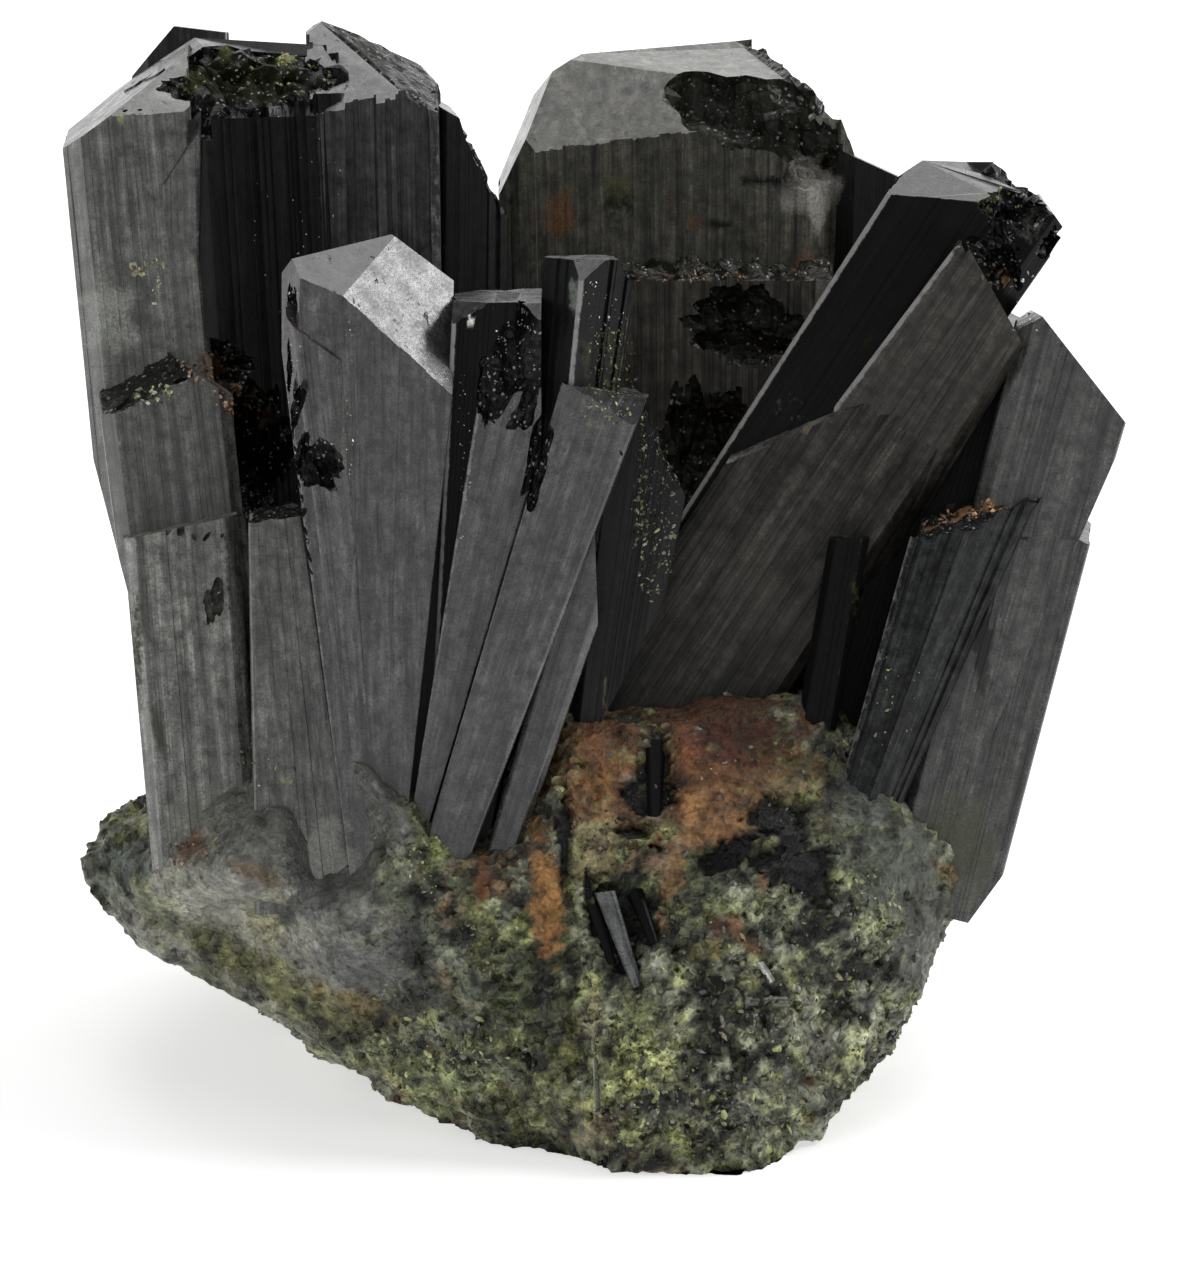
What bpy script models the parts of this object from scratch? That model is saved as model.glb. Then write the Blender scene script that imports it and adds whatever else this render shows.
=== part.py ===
"""An aegirine specimen: black striated prisms that fan out of one broken piece of green and rust-brown matrix.

Sizes are in millimetres, and the finished solids are scaled to metres. Places are in the fan's own frame: x to
the right, y to the back and z up along the fan. STANCE leans that frame back, as the specimen stands on the flat
break at its foot.
"""

import math
import random

import bmesh
import bpy
from mathutils import Matrix, Vector, noise
from mathutils.bvhtree import BVHTree

METRES = 0.001
LEAN = math.radians(18)
STANCE = Matrix.Rotation(-LEAN, 4, "X")
# The space between solids that meet, and how far a crystal runs on past its tip before its end is cut.
GAP = 0.3
SPARE = 5.0
# The flat strips that parallel growth leaves on a wide face: the narrowest face that has them, and their width.
NARROWEST = 1.3
STRIP = 1.1
# The matrix: where its foot ends in front, the size of its facets, and how high and how wide its lumps are.
FOOT_FRONT = -1.0
FACET = 1.45
LUMP_HEIGHT = 0.9
LUMP_WIDTH = 3.0
# Its grains: how many are tried, their size, and where they sit on its front.
GRAINS = 150
GRAIN_SIZES = (0.7, 1.5)
GRAINS_ACROSS = (-7.0, 14.5)
GRAINS_UP = (0.5, 14.0)
GRAINS_ABOVE_FOOT = 1.2

BLACK = (0.018, 0.019, 0.020)
GREEN_GREY = (0.055, 0.062, 0.032)


def clear_scene():
    for thing in list(bpy.data.objects):
        bpy.data.objects.remove(thing, do_unlink=True)


def material(name, colour, roughness):
    made = bpy.data.materials.new(name)
    made.use_nodes = True
    shader = made.node_tree.nodes["Principled BSDF"]
    shader.inputs["Base Color"].default_value = (*colour, 1.0)
    shader.inputs["Roughness"].default_value = roughness
    shader.inputs["Metallic"].default_value = 0.0
    return made


def object_from(bm, name):
    """A mesh object made from bm, with its faces pointing outwards."""
    bmesh.ops.recalc_face_normals(bm, faces=bm.faces)
    mesh = bpy.data.meshes.new(name)
    bm.to_mesh(mesh)
    bm.free()
    made = bpy.data.objects.new(name, mesh)
    bpy.context.scene.collection.objects.link(made)
    return made


def slab(width, depth, cuts):
    """A prism's outline: a rectangle whose corners are cut by that much each.

    The cuts run from the front left corner to the front right, back right and back left ones.
    """
    right, back = width / 2, depth / 2
    points = []
    for side, end, cut in zip((-1, 1, 1, -1), (-1, -1, 1, 1), cuts):
        beside, before = (side * right, end * (back - cut)), (side * (right - cut), end * back)
        points += [beside, before] if side * end > 0 else [before, beside]
    return [Vector(p) for p in points]


def striated(outline, ridge, seed):
    """The same outline with each wide face broken into flat strips, as parallel growth leaves it."""
    rng = random.Random(seed)
    points = []
    for start, end in zip(outline, outline[1:] + outline[:1]):
        side = end - start
        points.append(start)
        if side.length < NARROWEST:
            continue
        along, inward = side.normalized(), Vector((-side.y, side.x)).normalized()
        strips = max(2, round(side.length / STRIP))
        level = 0.0
        for i in range(1, strips):
            corner = start + side * ((i + rng.uniform(-0.28, 0.28)) / strips)
            points.append(corner + inward * level)
            level = rng.uniform(0.2, 1.0) * ridge if level == 0.0 else 0.0
            points.append(corner + along * ridge * 0.4 + inward * level)
        if level > 0.0:
            points.append(end - along * ridge + inward * level)
    return points


class Crystal:
    """One prism: where it roots and ends, its outline at the tip, and the faces that end it.

    taper is the root's width as a share of the tip's, and turn its turn round the axis. Each ending face is
    (azimuth, slope, place): the way it faces, with 0 to the front and 90 to the right; how steep it is, with 0
    level and 90 upright; and a place that it passes through.
    """

    def __init__(self, root, tip, outline, taper=1.0, turn=0.0, ends=(), ridge=0.12, seed=1):
        self.root, self.tip, self.outline = Vector(root), Vector(tip), outline
        self.taper, self.turn, self.ends = taper, math.radians(turn), ends
        self.ridge, self.seed = ridge, seed

    def place(self):
        """The matrix from the crystal's own frame, with z along its axis, to the fan's frame."""
        axis = (self.tip - self.root).normalized()
        right = Vector((0, 1, 0)).cross(axis).normalized()
        frame = Matrix((right, axis.cross(right), axis)).transposed().to_4x4()
        return Matrix.Translation(self.root) @ frame @ Matrix.Rotation(self.turn, 4, "Z")

    def build(self, name, grow=0.0):
        """The crystal as an object. grow makes it larger by that much all round, for the socket it sits in."""
        length = (self.tip - self.root).length
        spare = SPARE if self.ends else 0.0
        outline = self.outline
        if self.ridge > 0 and grow == 0:
            outline = striated(outline, self.ridge, self.seed)
        bm = bmesh.new()
        foot = [bm.verts.new((p.x * self.taper, p.y * self.taper, 0)) for p in outline]
        made = bmesh.ops.extrude_face_region(bm, geom=[bm.faces.new(foot)])
        top = [v for v in made["geom"] if isinstance(v, bmesh.types.BMVert)]
        widened = (self.taper + (1 - self.taper) * (length + spare) / length) / self.taper
        bmesh.ops.scale(bm, vec=(widened, widened, 1), verts=top)
        bmesh.ops.translate(bm, vec=(0, 0, length + spare), verts=top)
        bm.transform(self.place())
        for azimuth, slope, place in self.ends:
            side, steep = math.radians(azimuth), math.radians(slope)
            facing = (math.sin(side) * math.sin(steep), -math.cos(side) * math.sin(steep), math.cos(steep))
            cut_flat(bm, place, facing)
        if grow:
            inflate(bm, grow)
        bm.transform(STANCE)
        return object_from(bm, name)


class Hollow:
    """A broken hollow: a rough ellipsoid that is cut out of a crystal, with its radii along x, y and z."""

    def __init__(self, place, radii, lean=0.0, seed=1):
        self.place, self.radii, self.lean, self.seed = Vector(place), radii, math.radians(lean), seed

    def build(self, name):
        bm = bmesh.new()
        bmesh.ops.create_icosphere(bm, subdivisions=2, radius=1)
        roughened(bm, 0.35, 0.7, self.seed)
        bmesh.ops.scale(bm, vec=self.radii, verts=bm.verts)
        bm.transform(STANCE @ Matrix.Translation(self.place) @ Matrix.Rotation(self.lean, 4, "Y"))
        return object_from(bm, name)


def cut_flat(bm, place, facing):
    """Cuts off what lies beyond a plane, and closes the cut."""
    everything = bm.verts[:] + bm.edges[:] + bm.faces[:]
    cut = bmesh.ops.bisect_plane(bm, geom=everything, plane_co=place, plane_no=facing, clear_outer=True)
    rim = [e for e in cut["geom_cut"] if isinstance(e, bmesh.types.BMEdge)]
    if rim:
        bmesh.ops.edgeloop_fill(bm, edges=rim)


def inflate(bm, distance):
    """Moves every face of a convex mesh out by distance, so that its corners stay where the faces meet."""
    same_way, rounds, share = 0.999, 60, 0.7
    bmesh.ops.recalc_face_normals(bm, faces=bm.faces)
    moved = {}
    for vert in bm.verts:
        normals = []
        for face in vert.link_faces:
            if all(face.normal.dot(n) < same_way for n in normals):
                normals.append(face.normal.copy())
        shift = Vector()
        for _ in range(rounds):
            for normal in normals:
                shift += normal * (distance - shift.dot(normal)) * share
        moved[vert] = vert.co + shift
    for vert, place in moved.items():
        vert.co = place


def roughened(bm, height, scale, seed):
    """Raises lumps and sinks pits of about that height, scale apart."""
    offset = Vector((seed * 3.1, seed * 1.7, seed * 2.3))
    bm.normal_update()
    shifts = [v.normal * noise.fractal(v.co / scale + offset, 1.0, 2.0, 3) * height for v in bm.verts]
    for vert, shift in zip(bm.verts, shifts):
        vert.co += shift


def applied(thing):
    """Replaces an object's mesh by what its modifiers make of it."""
    bpy.context.view_layer.update()
    graph = bpy.context.evaluated_depsgraph_get()
    thing.data = bpy.data.meshes.new_from_object(thing.evaluated_get(graph))
    thing.modifiers.clear()
    return thing


def combined(thing, others, operation):
    """thing joined to, or cut by, each of the other objects, which are then gone."""
    for other in others:
        modifier = thing.modifiers.new(other.name, "BOOLEAN")
        modifier.operation = operation
        modifier.object = other
        modifier.solver = "EXACT"
    applied(thing)
    for other in others:
        bpy.data.objects.remove(other, do_unlink=True)
    return thing


def largest_piece(thing):
    """Leaves out the chips that a cut sets free."""
    bm = bmesh.new()
    bm.from_mesh(thing.data)
    left, pieces = set(bm.verts), []
    while left:
        piece, edge = set(), [left.pop()]
        while edge:
            vert = edge.pop()
            piece.add(vert)
            for near in (e.other_vert(vert) for e in vert.link_edges):
                if near in left:
                    left.discard(near)
                    edge.append(near)
        pieces.append(piece)
    largest = max(pieces, key=len)
    bmesh.ops.delete(bm, geom=[v for v in bm.verts if v not in largest], context="VERTS")
    bm.to_mesh(thing.data)
    bm.free()
    return thing


def grown_together(name, crystals, hollows=()):
    """One solid from crystals that overlap, with hollows broken out of it."""
    made = [crystal.build(f"{name}_{i}") for i, crystal in enumerate(crystals)]
    first = combined(made[0], made[1:], "UNION")
    combined(first, [hollow.build(f"hollow_{i}") for i, hollow in enumerate(hollows)], "DIFFERENCE")
    first.name = name
    return largest_piece(first)


def make_room(thing, crystals):
    """Cuts thing back from the crystals that it meets, and leaves GAP between them."""
    sockets = [crystal.build(f"socket_{i}", GAP) for i, crystal in enumerate(crystals)]
    return largest_piece(combined(thing, sockets, "DIFFERENCE"))


FRONT = (
    # The left blade of the fan, which ends in the wide bright face and a smaller one left of it.
    Crystal(
        (-9.0, 2.0, 10.5),
        (-9.25, 1.6, 36.4),
        slab(7.9, 5.2, (0.3, 0.3, 1.6, 1.6)),
        taper=0.22,
        ends=(
            (35.5, 60.5, (-10.35, -1.0, 34.9)),
            (22.4, 49.2, (-10.35, -1.0, 34.9)),
            (235, 33, (-8.4, 2.25, 37.65)),
            (115, 37, (-8.4, 2.25, 37.65)),
            (270, 90, (-12.75, 0, 30)),
            (300, 90, (-11.9, -1.0, 33)),
            (90, 90, (-5.9, 0, 30)),
        ),
        seed=3,
    ),
    # The strip that stands out along that blade's left edge.
    Crystal(
        (-9.5, 1.9, 14.0),
        (-11.35, 0.45, 32.8),
        slab(2.0, 2.5, (0.3, 0.1, 0.4, 0.4)),
        taper=0.6,
        ends=((40, 50, (-11.3, -0.9, 33.0)),),
        ridge=0,
    ),
    # The middle blade, whose top is broken hollow.
    Crystal(
        (-7.3, 2.1, 10.5),
        (-3.85, 1.6, 34.6),
        slab(3.9, 4.4, (0.55, 0.2, 0.9, 0.9)),
        taper=0.3,
        ends=((355, 10, (-4.1, -0.6, 34.7)),),
        seed=5,
    ),
    # The right blade, leaning further over.
    Crystal(
        (-6.9, 2.0, 10.5),
        (-0.1, 1.4, 30.5),
        slab(3.4, 4.6, (0.3, 0.3, 1.1, 1.0)),
        taper=0.5,
        ends=((12, 62, (-0.6, -0.9, 30.4)), (60, 12, (0.0, 0.0, 31.0))),
        seed=7,
    ),
    # The upright crystal that stands on it, with an edge to the front.
    Crystal(
        (-1.6, 1.8, 25.0),
        (-0.35, 1.7, 36.6),
        slab(3.3, 3.3, (0.4, 0.6, 0.5, 0.7)),
        taper=0.75,
        turn=40,
        ends=((10, 6, (-0.4, 0, 36.5)), (92, 62, (0.9, 0, 36.2)), (8, 62, (-0.2, -0.4, 35.6))),
        ridge=0.16,
        seed=9,
    ),
    # The low blade, right of the dark seam.
    Crystal(
        (-4.6, 2.1, 10.6),
        (-0.3, 1.7, 24.1),
        slab(1.9, 2.6, (0.2, 0.3, 0.7, 0.7)),
        taper=0.6,
        ends=((90, 88, (-0.1, 0.4, 22.5)), (90, 118, (-0.5, 0.6, 17.7))),
        ridge=0,
    ),
    # The grainy crystal behind the right blade.
    Crystal(
        (-0.2, 3.9, 15.2),
        (2.1, 2.9, 30.6),
        slab(4.1, 2.6, (0.5, 0.6, 0.7, 0.6)),
        taper=0.6,
        ends=((88, 66, (1.75, 2.8, 30.9)), (10, 12, (1.6, 2.8, 31.0))),
        seed=13,
    ),
    # The lower blade at the fan's left foot.
    Crystal(
        (-11.9, 4.6, 12.4),
        (-13.0, 2.6, 26.2),
        slab(2.3, 3.8, (0.4, 0.2, 0.8, 0.8)),
        taper=1.8,
        ends=((330, 12, (-13.0, 0.7, 26.2)),),
        seed=15,
    ),
    # The heart of the fan, which closes the seams between its blades from behind.
    Crystal(
        (-6.6, 4.0, 11.0),
        (-4.0, 3.6, 30.5),
        slab(7.2, 3.6, (0.6, 0.6, 0.9, 0.9)),
        taper=0.55,
        ends=((20, 30, (-4.0, 1.8, 31.5)),),
        ridge=0,
    ),
)

FRONT_HOLLOWS = (
    # The broken top of the middle blade, its notch, and a chip in the left one.
    Hollow((-3.1, -0.6, 32.4), (1.3, 1.0, 2.6), lean=8, seed=2),
    Hollow((-4.6, -0.6, 30.2), (0.3, 0.5, 0.8), lean=-14, seed=3),
    Hollow((-11.1, -0.45, 28.1), (0.8, 0.5, 1.1), lean=-30, seed=4),
)

LEFT = (
    # The tall crystal's left part, with its roof face on the left.
    Crystal(
        (-16.6, 12.0, 12.0),
        (-19.3, 11.7, 41.3),
        slab(5.4, 9.4, (0.9, 0.3, 1.8, 2.2)),
        taper=0.93,
        ends=(
            (285, 37, (-22.0, 8.0, 41.4)),
            (355, 40, (-17.5, 7.0, 42.8)),
            (90, 8, (-16.2, 11.5, 46.4)),
            (270, 105, (-20.5, 9.0, 27.8)),
        ),
        seed=21,
    ),
    # Its middle, a dark face turned to the right that ends in a broken slope.
    Crystal(
        (-13.2, 11.8, 12.0),
        (-15.1, 12.0, 43.0),
        slab(7.6, 8.0, (0.6, 0.8, 1.4, 1.4)),
        taper=0.88,
        turn=26,
        ends=(
            (10, 42, (-13.8, 8.2, 43.1)),
            (90, 4, (-14.0, 12.5, 46.1)),
            (285, 37, (-16.2, 11.5, 46.4)),
            (190, 30, (-14.0, 14.0, 46.2)),
        ),
        ridge=0.2,
        seed=23,
    ),
    # Its right part, with a roof face on the right.
    Crystal(
        (-8.7, 13.3, 12.0),
        (-9.4, 13.4, 43.5),
        slab(5.5, 8.0, (0.5, 0.4, 1.6, 1.2)),
        taper=0.92,
        ends=(
            (66, 34, (-6.95, 9.6, 43.2)),
            (350, 46, (-8.6, 9.4, 43.4)),
            (284, 40, (-11.6, 13.0, 46.9)),
            (180, 30, (-10.0, 14.5, 46.8)),
        ),
        ridge=0.18,
        seed=25,
    ),
    # The broken shoulder on the right.
    Crystal(
        (-5.7, 15.4, 14.0),
        (-5.4, 15.2, 42.0),
        slab(3.2, 5.5, (0.6, 0.8, 1.0, 0.6)),
        ends=((90, 64, (-5.0, 12.5, 41.3)), (80, 30, (-5.9, 13.0, 43.0))),
        seed=27,
    ),
    # The crystal that peeps over the tall one's left shoulder.
    Crystal(
        (-16.7, 17.5, 14.0),
        (-17.7, 18.5, 47.2),
        slab(4.0, 5.0, (0.8, 0.8, 1.0, 1.0)),
        ends=((275, 50, (-19.4, 17.0, 45.2)), (60, 8, (-17.0, 18.0, 47.0))),
        seed=29,
    ),
    # The shorter crystal in front, under the rust-stained ledge.
    Crystal(
        (-15.4, 8.0, 11.2),
        (-17.8, 7.6, 32.0),
        slab(5.4, 6.0, (0.7, 0.5, 0.8, 0.8)),
        taper=0.92,
        ends=(
            (318, 38, (-18.8, 5.2, 31.3)),
            (84, 34, (-16.9, 7.0, 32.6)),
            (270, 105, (-20.4, 7.0, 27.8)),
        ),
        seed=31,
    ),
    # The lowest step, which stands furthest forward.
    Crystal(
        (-15.8, 6.6, 10.5),
        (-17.0, 6.2, 25.7),
        slab(4.7, 6.0, (0.6, 0.5, 0.8, 0.8)),
        taper=0.95,
        ends=((300, 14, (-17.0, 3.2, 25.8)),),
        seed=33,
    ),
)

LEFT_HOLLOWS = (
    # The notch in the crest, the rusty hollow above the ledge, the dark one below it, and a pit in the step.
    Hollow((-13.3, 9.8, 46.4), (1.5, 2.4, 1.0), seed=5),
    Hollow((-15.4, 7.2, 32.6), (1.5, 1.4, 0.9), lean=10, seed=6),
    Hollow((-14.0, 7.8, 29.0), (1.7, 2.4, 2.7), seed=9),
    Hollow((-15.6, 3.1, 22.8), (0.5, 0.4, 1.0), seed=7),
)

RIGHT = (
    # The long leaning crystal at the back of the pair, with a broken top.
    Crystal(
        (0.2, 10.1, 16.0),
        (15.7, 8.7, 39.2),
        slab(7.0, 6.6, (0.6, 0.8, 1.4, 1.2)),
        taper=0.85,
        turn=-10,
        ends=(
            (8, 27, (13.6, 5.4, 39.2)),
            (270, 35, (12.0, 8.7, 40.1)),
            (80, 34, (16.6, 8.0, 40.4)),
            (85, 55, (18.5, 8.0, 38.8)),
            (0, 2, (14.3, 8.7, 40.95)),
            (90, 112, (18.9, 8.0, 37.8)),
        ),
        ridge=0.18,
        seed=41,
    ),
    # Its twin in front, with a sharp left edge and a wide striated face.
    Crystal(
        (2.7, 8.2, 16.0),
        (15.6, 6.1, 35.0),
        slab(4.7, 4.8, (0.3, 0.5, 1.0, 0.8)),
        taper=1.65,
        turn=-6,
        ends=((40, 36, (15.0, 3.6, 37.2)), (92, 60, (16.0, 3.6, 35.2))),
        ridge=0.18,
        seed=43,
    ),
    # The wide blade that makes the right edge.
    Crystal(
        (13.3, 7.0, 10.4),
        (19.1, 7.4, 31.8),
        slab(5.2, 6.4, (0.6, 0.6, 1.2, 1.0)),
        taper=0.81,
        ends=(
            (88, 52, (21.2, 4.6, 30.2)),
            (280, 30, (17.9, 5.5, 34.5)),
            (90, 114, (21.25, 5.0, 29.5)),
            (90, 126, (16.8, 6.5, 12.4)),
        ),
        seed=45,
    ),
    # The strip in front of it that ends in a step on the right.
    Crystal(
        (14.2, 6.7, 10.0),
        (17.9, 6.6, 25.0),
        slab(3.7, 4.7, (0.4, 0.5, 1.0, 1.0)),
        taper=0.88,
        ends=((60, 30, (19.3, 5.0, 25.6)), (0, 70, (18.0, 4.2, 25.2)), (90, 126, (16.8, 6.5, 12.4))),
        seed=47,
    ),
    # The stub with a rust-brown rim.
    Crystal(
        (10.5, 3.9, 13.6),
        (15.0, 4.0, 26.0),
        slab(4.1, 4.0, (0.2, 2.0, 0.6, 0.6)),
        taper=0.55,
        turn=-8,
        ends=((318, 20, (13.4, 2.2, 25.6)),),
        ridge=0.16,
        seed=49,
    ),
    # The thin black prism left of the stub.
    Crystal(
        (8.2, 4.6, 14.6),
        (10.1, 4.2, 25.5),
        slab(1.6, 2.0, (0.3, 0.3, 0.4, 0.3)),
        ridge=0,
    ),
    # The dark crystal that closes the wedge between the leaning pair and the right blade.
    Crystal(
        (9.8, 10.2, 13.0),
        (16.2, 10.2, 33.6),
        slab(5.6, 6.0, (0.6, 0.6, 0.9, 0.9)),
        ends=((60, 30, (17.0, 8.0, 33.4)),),
        ridge=0,
    ),
)

BACK = (
    # The thick crystal behind the fan.
    Crystal(
        (3.2, 20.0, 14.0),
        (3.2, 21.5, 46.3),
        slab(15.4, 8.0, (1.6, 2.0, 2.0, 2.0)),
        taper=0.87,
        ends=(
            (276, 66, (-3.6, 20.0, 41.8)),
            (268, 34, (-2.2, 20.0, 45.2)),
            (88, 46, (8.4, 19.0, 45.1)),
            (6, 22, (2.3, 17.5, 44.6)),
            (275, 7, (2.1, 22.0, 46.5)),
            (90, 70, (10.7, 19.0, 41.9)),
        ),
        ridge=0.2,
        seed=61,
    ),
    # The ledge across its front, halfway down.
    Crystal(
        (3.7, 15.4, 14.0),
        (3.7, 16.5, 36.5),
        slab(12.1, 4.0, (0.8, 0.8, 0.6, 0.6)),
        taper=0.93,
        ends=((0, 20, (3.7, 14.6, 36.5)),),
        ridge=0.2,
        seed=63,
    ),
    # The dark crystal between it and the leaning pair.
    Crystal(
        (10.6, 19.5, 15.0),
        (11.6, 20.5, 41.6),
        slab(3.2, 5.0, (0.8, 0.8, 0.8, 0.8)),
        ends=((80, 25, (11.6, 18.0, 41.2)),),
        ridge=0,
    ),
)

BACK_HOLLOWS = (
    # The broken right half of the top.
    Hollow((6.9, 16.8, 44.2), (3.0, 2.0, 1.9), lean=25, seed=8),
    Hollow((8.6, 17.2, 41.6), (1.8, 1.5, 1.5), seed=11),
)

# Where the matrix meets the surface that it stands on, as x and y.
FOOT = (
    (-10.4, 14.6), (-7.8, 11.4), (-4.0, 5.2), (-1.6, 1.3), (2.5, -0.1), (4.8, -0.9), (6.6, -0.1),
    (8.1, 5.8), (10.5, 14.4), (11.2, 19.0), (9.0, 22.5), (-8.0, 22.5), (-10.5, 18.0),
)

# The corners of the matrix above its foot.
CORNERS = (
    # The left corner, which overhangs the foot.
    (-22.0, 8.4, 11.2), (-21.6, 8.0, 11.8), (-18.4, 8.4, 14.8), (-18.0, 5.6, 12.6), (-19.4, 15.0, 13.8),
    # The front, from the foot of the left crystals across the foot of the fan to that of the right ones.
    (-14.2, 3.2, 11.0), (-8.2, 2.2, 7.6), (-13.4, 0.1, 13.9), (-9.9, -0.1, 16.9), (-8.2, -0.2, 14.9),
    (-6.2, 0.1, 12.4), (-5.4, 0.1, 10.9), (0.0, -0.3, 8.5), (8.0, 0.2, 9.7), (10.8, 1.4, 14.2),
    (14.2, 4.2, 9.3), (15.8, 6.4, 12.4), (13.2, 5.0, 7.0), (11.8, 6.4, 4.9),
    # The rust-brown hollow's upper rim, where the leaning pair comes out.
    (-0.4, 4.2, 17.8), (4.0, 4.2, 18.2), (7.6, 4.2, 19.2),
    # The top and the back, among the crystals.
    (-13.0, 14.0, 17.5), (-2.0, 13.0, 19.0), (9.0, 13.0, 19.0), (15.0, 13.0, 15.0), (14.0, 20.0, 14.0),
    (-18.8, 19.0, 15.5), (-18.0, 22.0, 16.0), (-16.5, 21.0, 11.5), (-6.0, 24.5, 17.0), (11.0, 25.0, 17.0),
    (13.5, 22.0, 15.5), (10.5, 24.5, 11.0), (-1.0, 24.0, 10.0),
)


def foot_place(x, y, below=0.0):
    """A place on the plane of the foot, or that much below it."""
    return Vector((x, y, (y - FOOT_FRONT) * math.tan(LEAN) - below))


def in_facets(bm, size):
    """The same closed shape with a skin of facets of that size."""
    skin = object_from(bm, "skin")
    remesh = skin.modifiers.new("facets", "REMESH")
    remesh.mode = "VOXEL"
    remesh.voxel_size = size
    applied(skin)
    made = bmesh.new()
    made.from_mesh(skin.data)
    bpy.data.objects.remove(skin, do_unlink=True)
    return made


def rock(name):
    """The matrix before the crystals are let into it: one broken lump, cut flat at the foot."""
    bm = bmesh.new()
    places = [foot_place(x, y, below) for x, y in FOOT for below in (0.0, 1.5)] + list(CORNERS)
    hull = bmesh.ops.convex_hull(bm, input=[bm.verts.new(p) for p in places])
    inside = {v for v in hull["geom_interior"] + hull["geom_unused"] if isinstance(v, bmesh.types.BMVert)}
    bmesh.ops.delete(bm, geom=list(inside), context="VERTS")
    bm.transform(STANCE)
    bm = in_facets(bm, FACET * 0.7)
    roughened(bm, LUMP_HEIGHT, LUMP_WIDTH, 5)
    bm = in_facets(bm, FACET)
    bmesh.ops.triangulate(bm, faces=bm.faces)
    cut_flat(bm, STANCE @ foot_place(0, 0), (0, 0, -1))
    return object_from(bm, name)


def grains(stone, tries, seed):
    """Blocky grains that stand out of the front of the matrix, as one object."""
    rng = random.Random(seed)
    surface = bmesh.new()
    surface.from_mesh(stone.data)
    tree = BVHTree.FromBMesh(surface)
    surface.free()
    in_front, backwards = -20.0, STANCE.to_3x3() @ Vector((0, 1, 0))
    bm = bmesh.new()
    placed = []
    for _ in range(tries):
        start = STANCE @ Vector((rng.uniform(*GRAINS_ACROSS), in_front, rng.uniform(*GRAINS_UP)))
        size = rng.uniform(*GRAIN_SIZES)
        hit, normal, _, _ = tree.ray_cast(start, backwards)
        if hit is None or hit.z < GRAINS_ABOVE_FOOT:
            continue
        if any((hit - place).length < (size + other) * 0.9 for place, other in placed):
            continue
        placed.append((hit, size))
        spin = Matrix.Rotation(rng.uniform(0, math.tau), 4, normal)
        tilt = Matrix.Rotation(rng.uniform(0.3, 1.2), 4, "X")
        shape = Matrix.Diagonal((size, size * rng.uniform(0.6, 1.0), size * rng.uniform(0.5, 0.9), 1))
        bmesh.ops.create_cube(bm, size=1, matrix=Matrix.Translation(hit) @ spin @ tilt @ shape)
    return object_from(bm, "grains")


def triangulate(thing):
    """Makes every face a triangle."""
    bm = bmesh.new()
    bm.from_mesh(thing.data)
    bmesh.ops.triangulate(bm, faces=bm.faces)
    bm.to_mesh(thing.data)
    bm.free()


def centred(things):
    """Sizes the solids in metres, with the middle of the box around them on the foot's level at the origin."""
    corners = [v.co for thing in things for v in thing.data.vertices]
    low, high = (Vector([pick(c[i] for c in corners) for i in range(3)]) for pick in (min, max))
    middle = Vector(((low.x + high.x) / 2, (low.y + high.y) / 2, low.z))
    for thing in things:
        thing.data.transform(Matrix.Scale(METRES, 4) @ Matrix.Translation(-middle))


def main():
    clear_scene()
    black = material("black_crystal", BLACK, 0.35)
    green = material("matrix", GREEN_GREY, 0.8)
    front = grown_together("front_crystals", FRONT, FRONT_HOLLOWS)
    left = make_room(grown_together("left_crystals", LEFT, LEFT_HOLLOWS), FRONT)
    right = make_room(grown_together("right_crystals", RIGHT), FRONT)
    back = make_room(grown_together("back_crystals", BACK, BACK_HOLLOWS), FRONT + LEFT + RIGHT)
    matrix = rock("matrix")
    combined(matrix, [grains(matrix, GRAINS, 7)], "UNION")
    make_room(matrix, FRONT + LEFT + RIGHT + BACK)
    solids = (front, left, right, back, matrix)
    for solid in solids:
        triangulate(solid)
        solid.data.materials.clear()
        solid.data.materials.append(green if solid is matrix else black)
    centred(solids)


main()
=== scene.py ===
# %% [markdown]
# # A cluster of aegirine crystals
# Black, striated prisms fan out of one broken piece of green and rust-brown rock. The solids of the cluster are
# loaded as a fixed frame, and each group of crystals is then modelled again with its fine growth lines, chips and
# broken tops, so that it can stand in for the plain solid that it hides.

import math
import random

import bmesh
import bpy
from mathutils import Matrix, Vector, geometry, noise
from mathutils.bvhtree import BVHTree


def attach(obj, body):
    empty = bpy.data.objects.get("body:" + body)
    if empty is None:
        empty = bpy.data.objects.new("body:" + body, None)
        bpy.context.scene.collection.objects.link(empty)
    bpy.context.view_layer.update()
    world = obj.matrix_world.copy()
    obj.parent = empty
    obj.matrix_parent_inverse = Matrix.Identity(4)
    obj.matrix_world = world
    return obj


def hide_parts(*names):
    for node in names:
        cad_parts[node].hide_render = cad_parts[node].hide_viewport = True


noise.seed_set(1)  # noise_vector would otherwise differ from run to run
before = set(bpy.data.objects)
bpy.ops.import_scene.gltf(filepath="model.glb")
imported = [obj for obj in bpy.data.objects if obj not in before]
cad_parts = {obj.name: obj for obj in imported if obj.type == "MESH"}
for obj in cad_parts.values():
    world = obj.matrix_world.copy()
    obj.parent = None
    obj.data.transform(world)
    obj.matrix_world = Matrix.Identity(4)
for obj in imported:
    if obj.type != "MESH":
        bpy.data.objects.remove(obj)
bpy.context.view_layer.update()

# %% [markdown]
# ## The fan's own frame
# The crystals are easiest to describe along the fan: x to the right, y to the back and z up along it, in
# millimetres. As the specimen stands on its broken foot, that fan leans back by 18 degrees. One matrix takes a
# place from the fan to the model, so every number below can be a plain size in millimetres.

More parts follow.
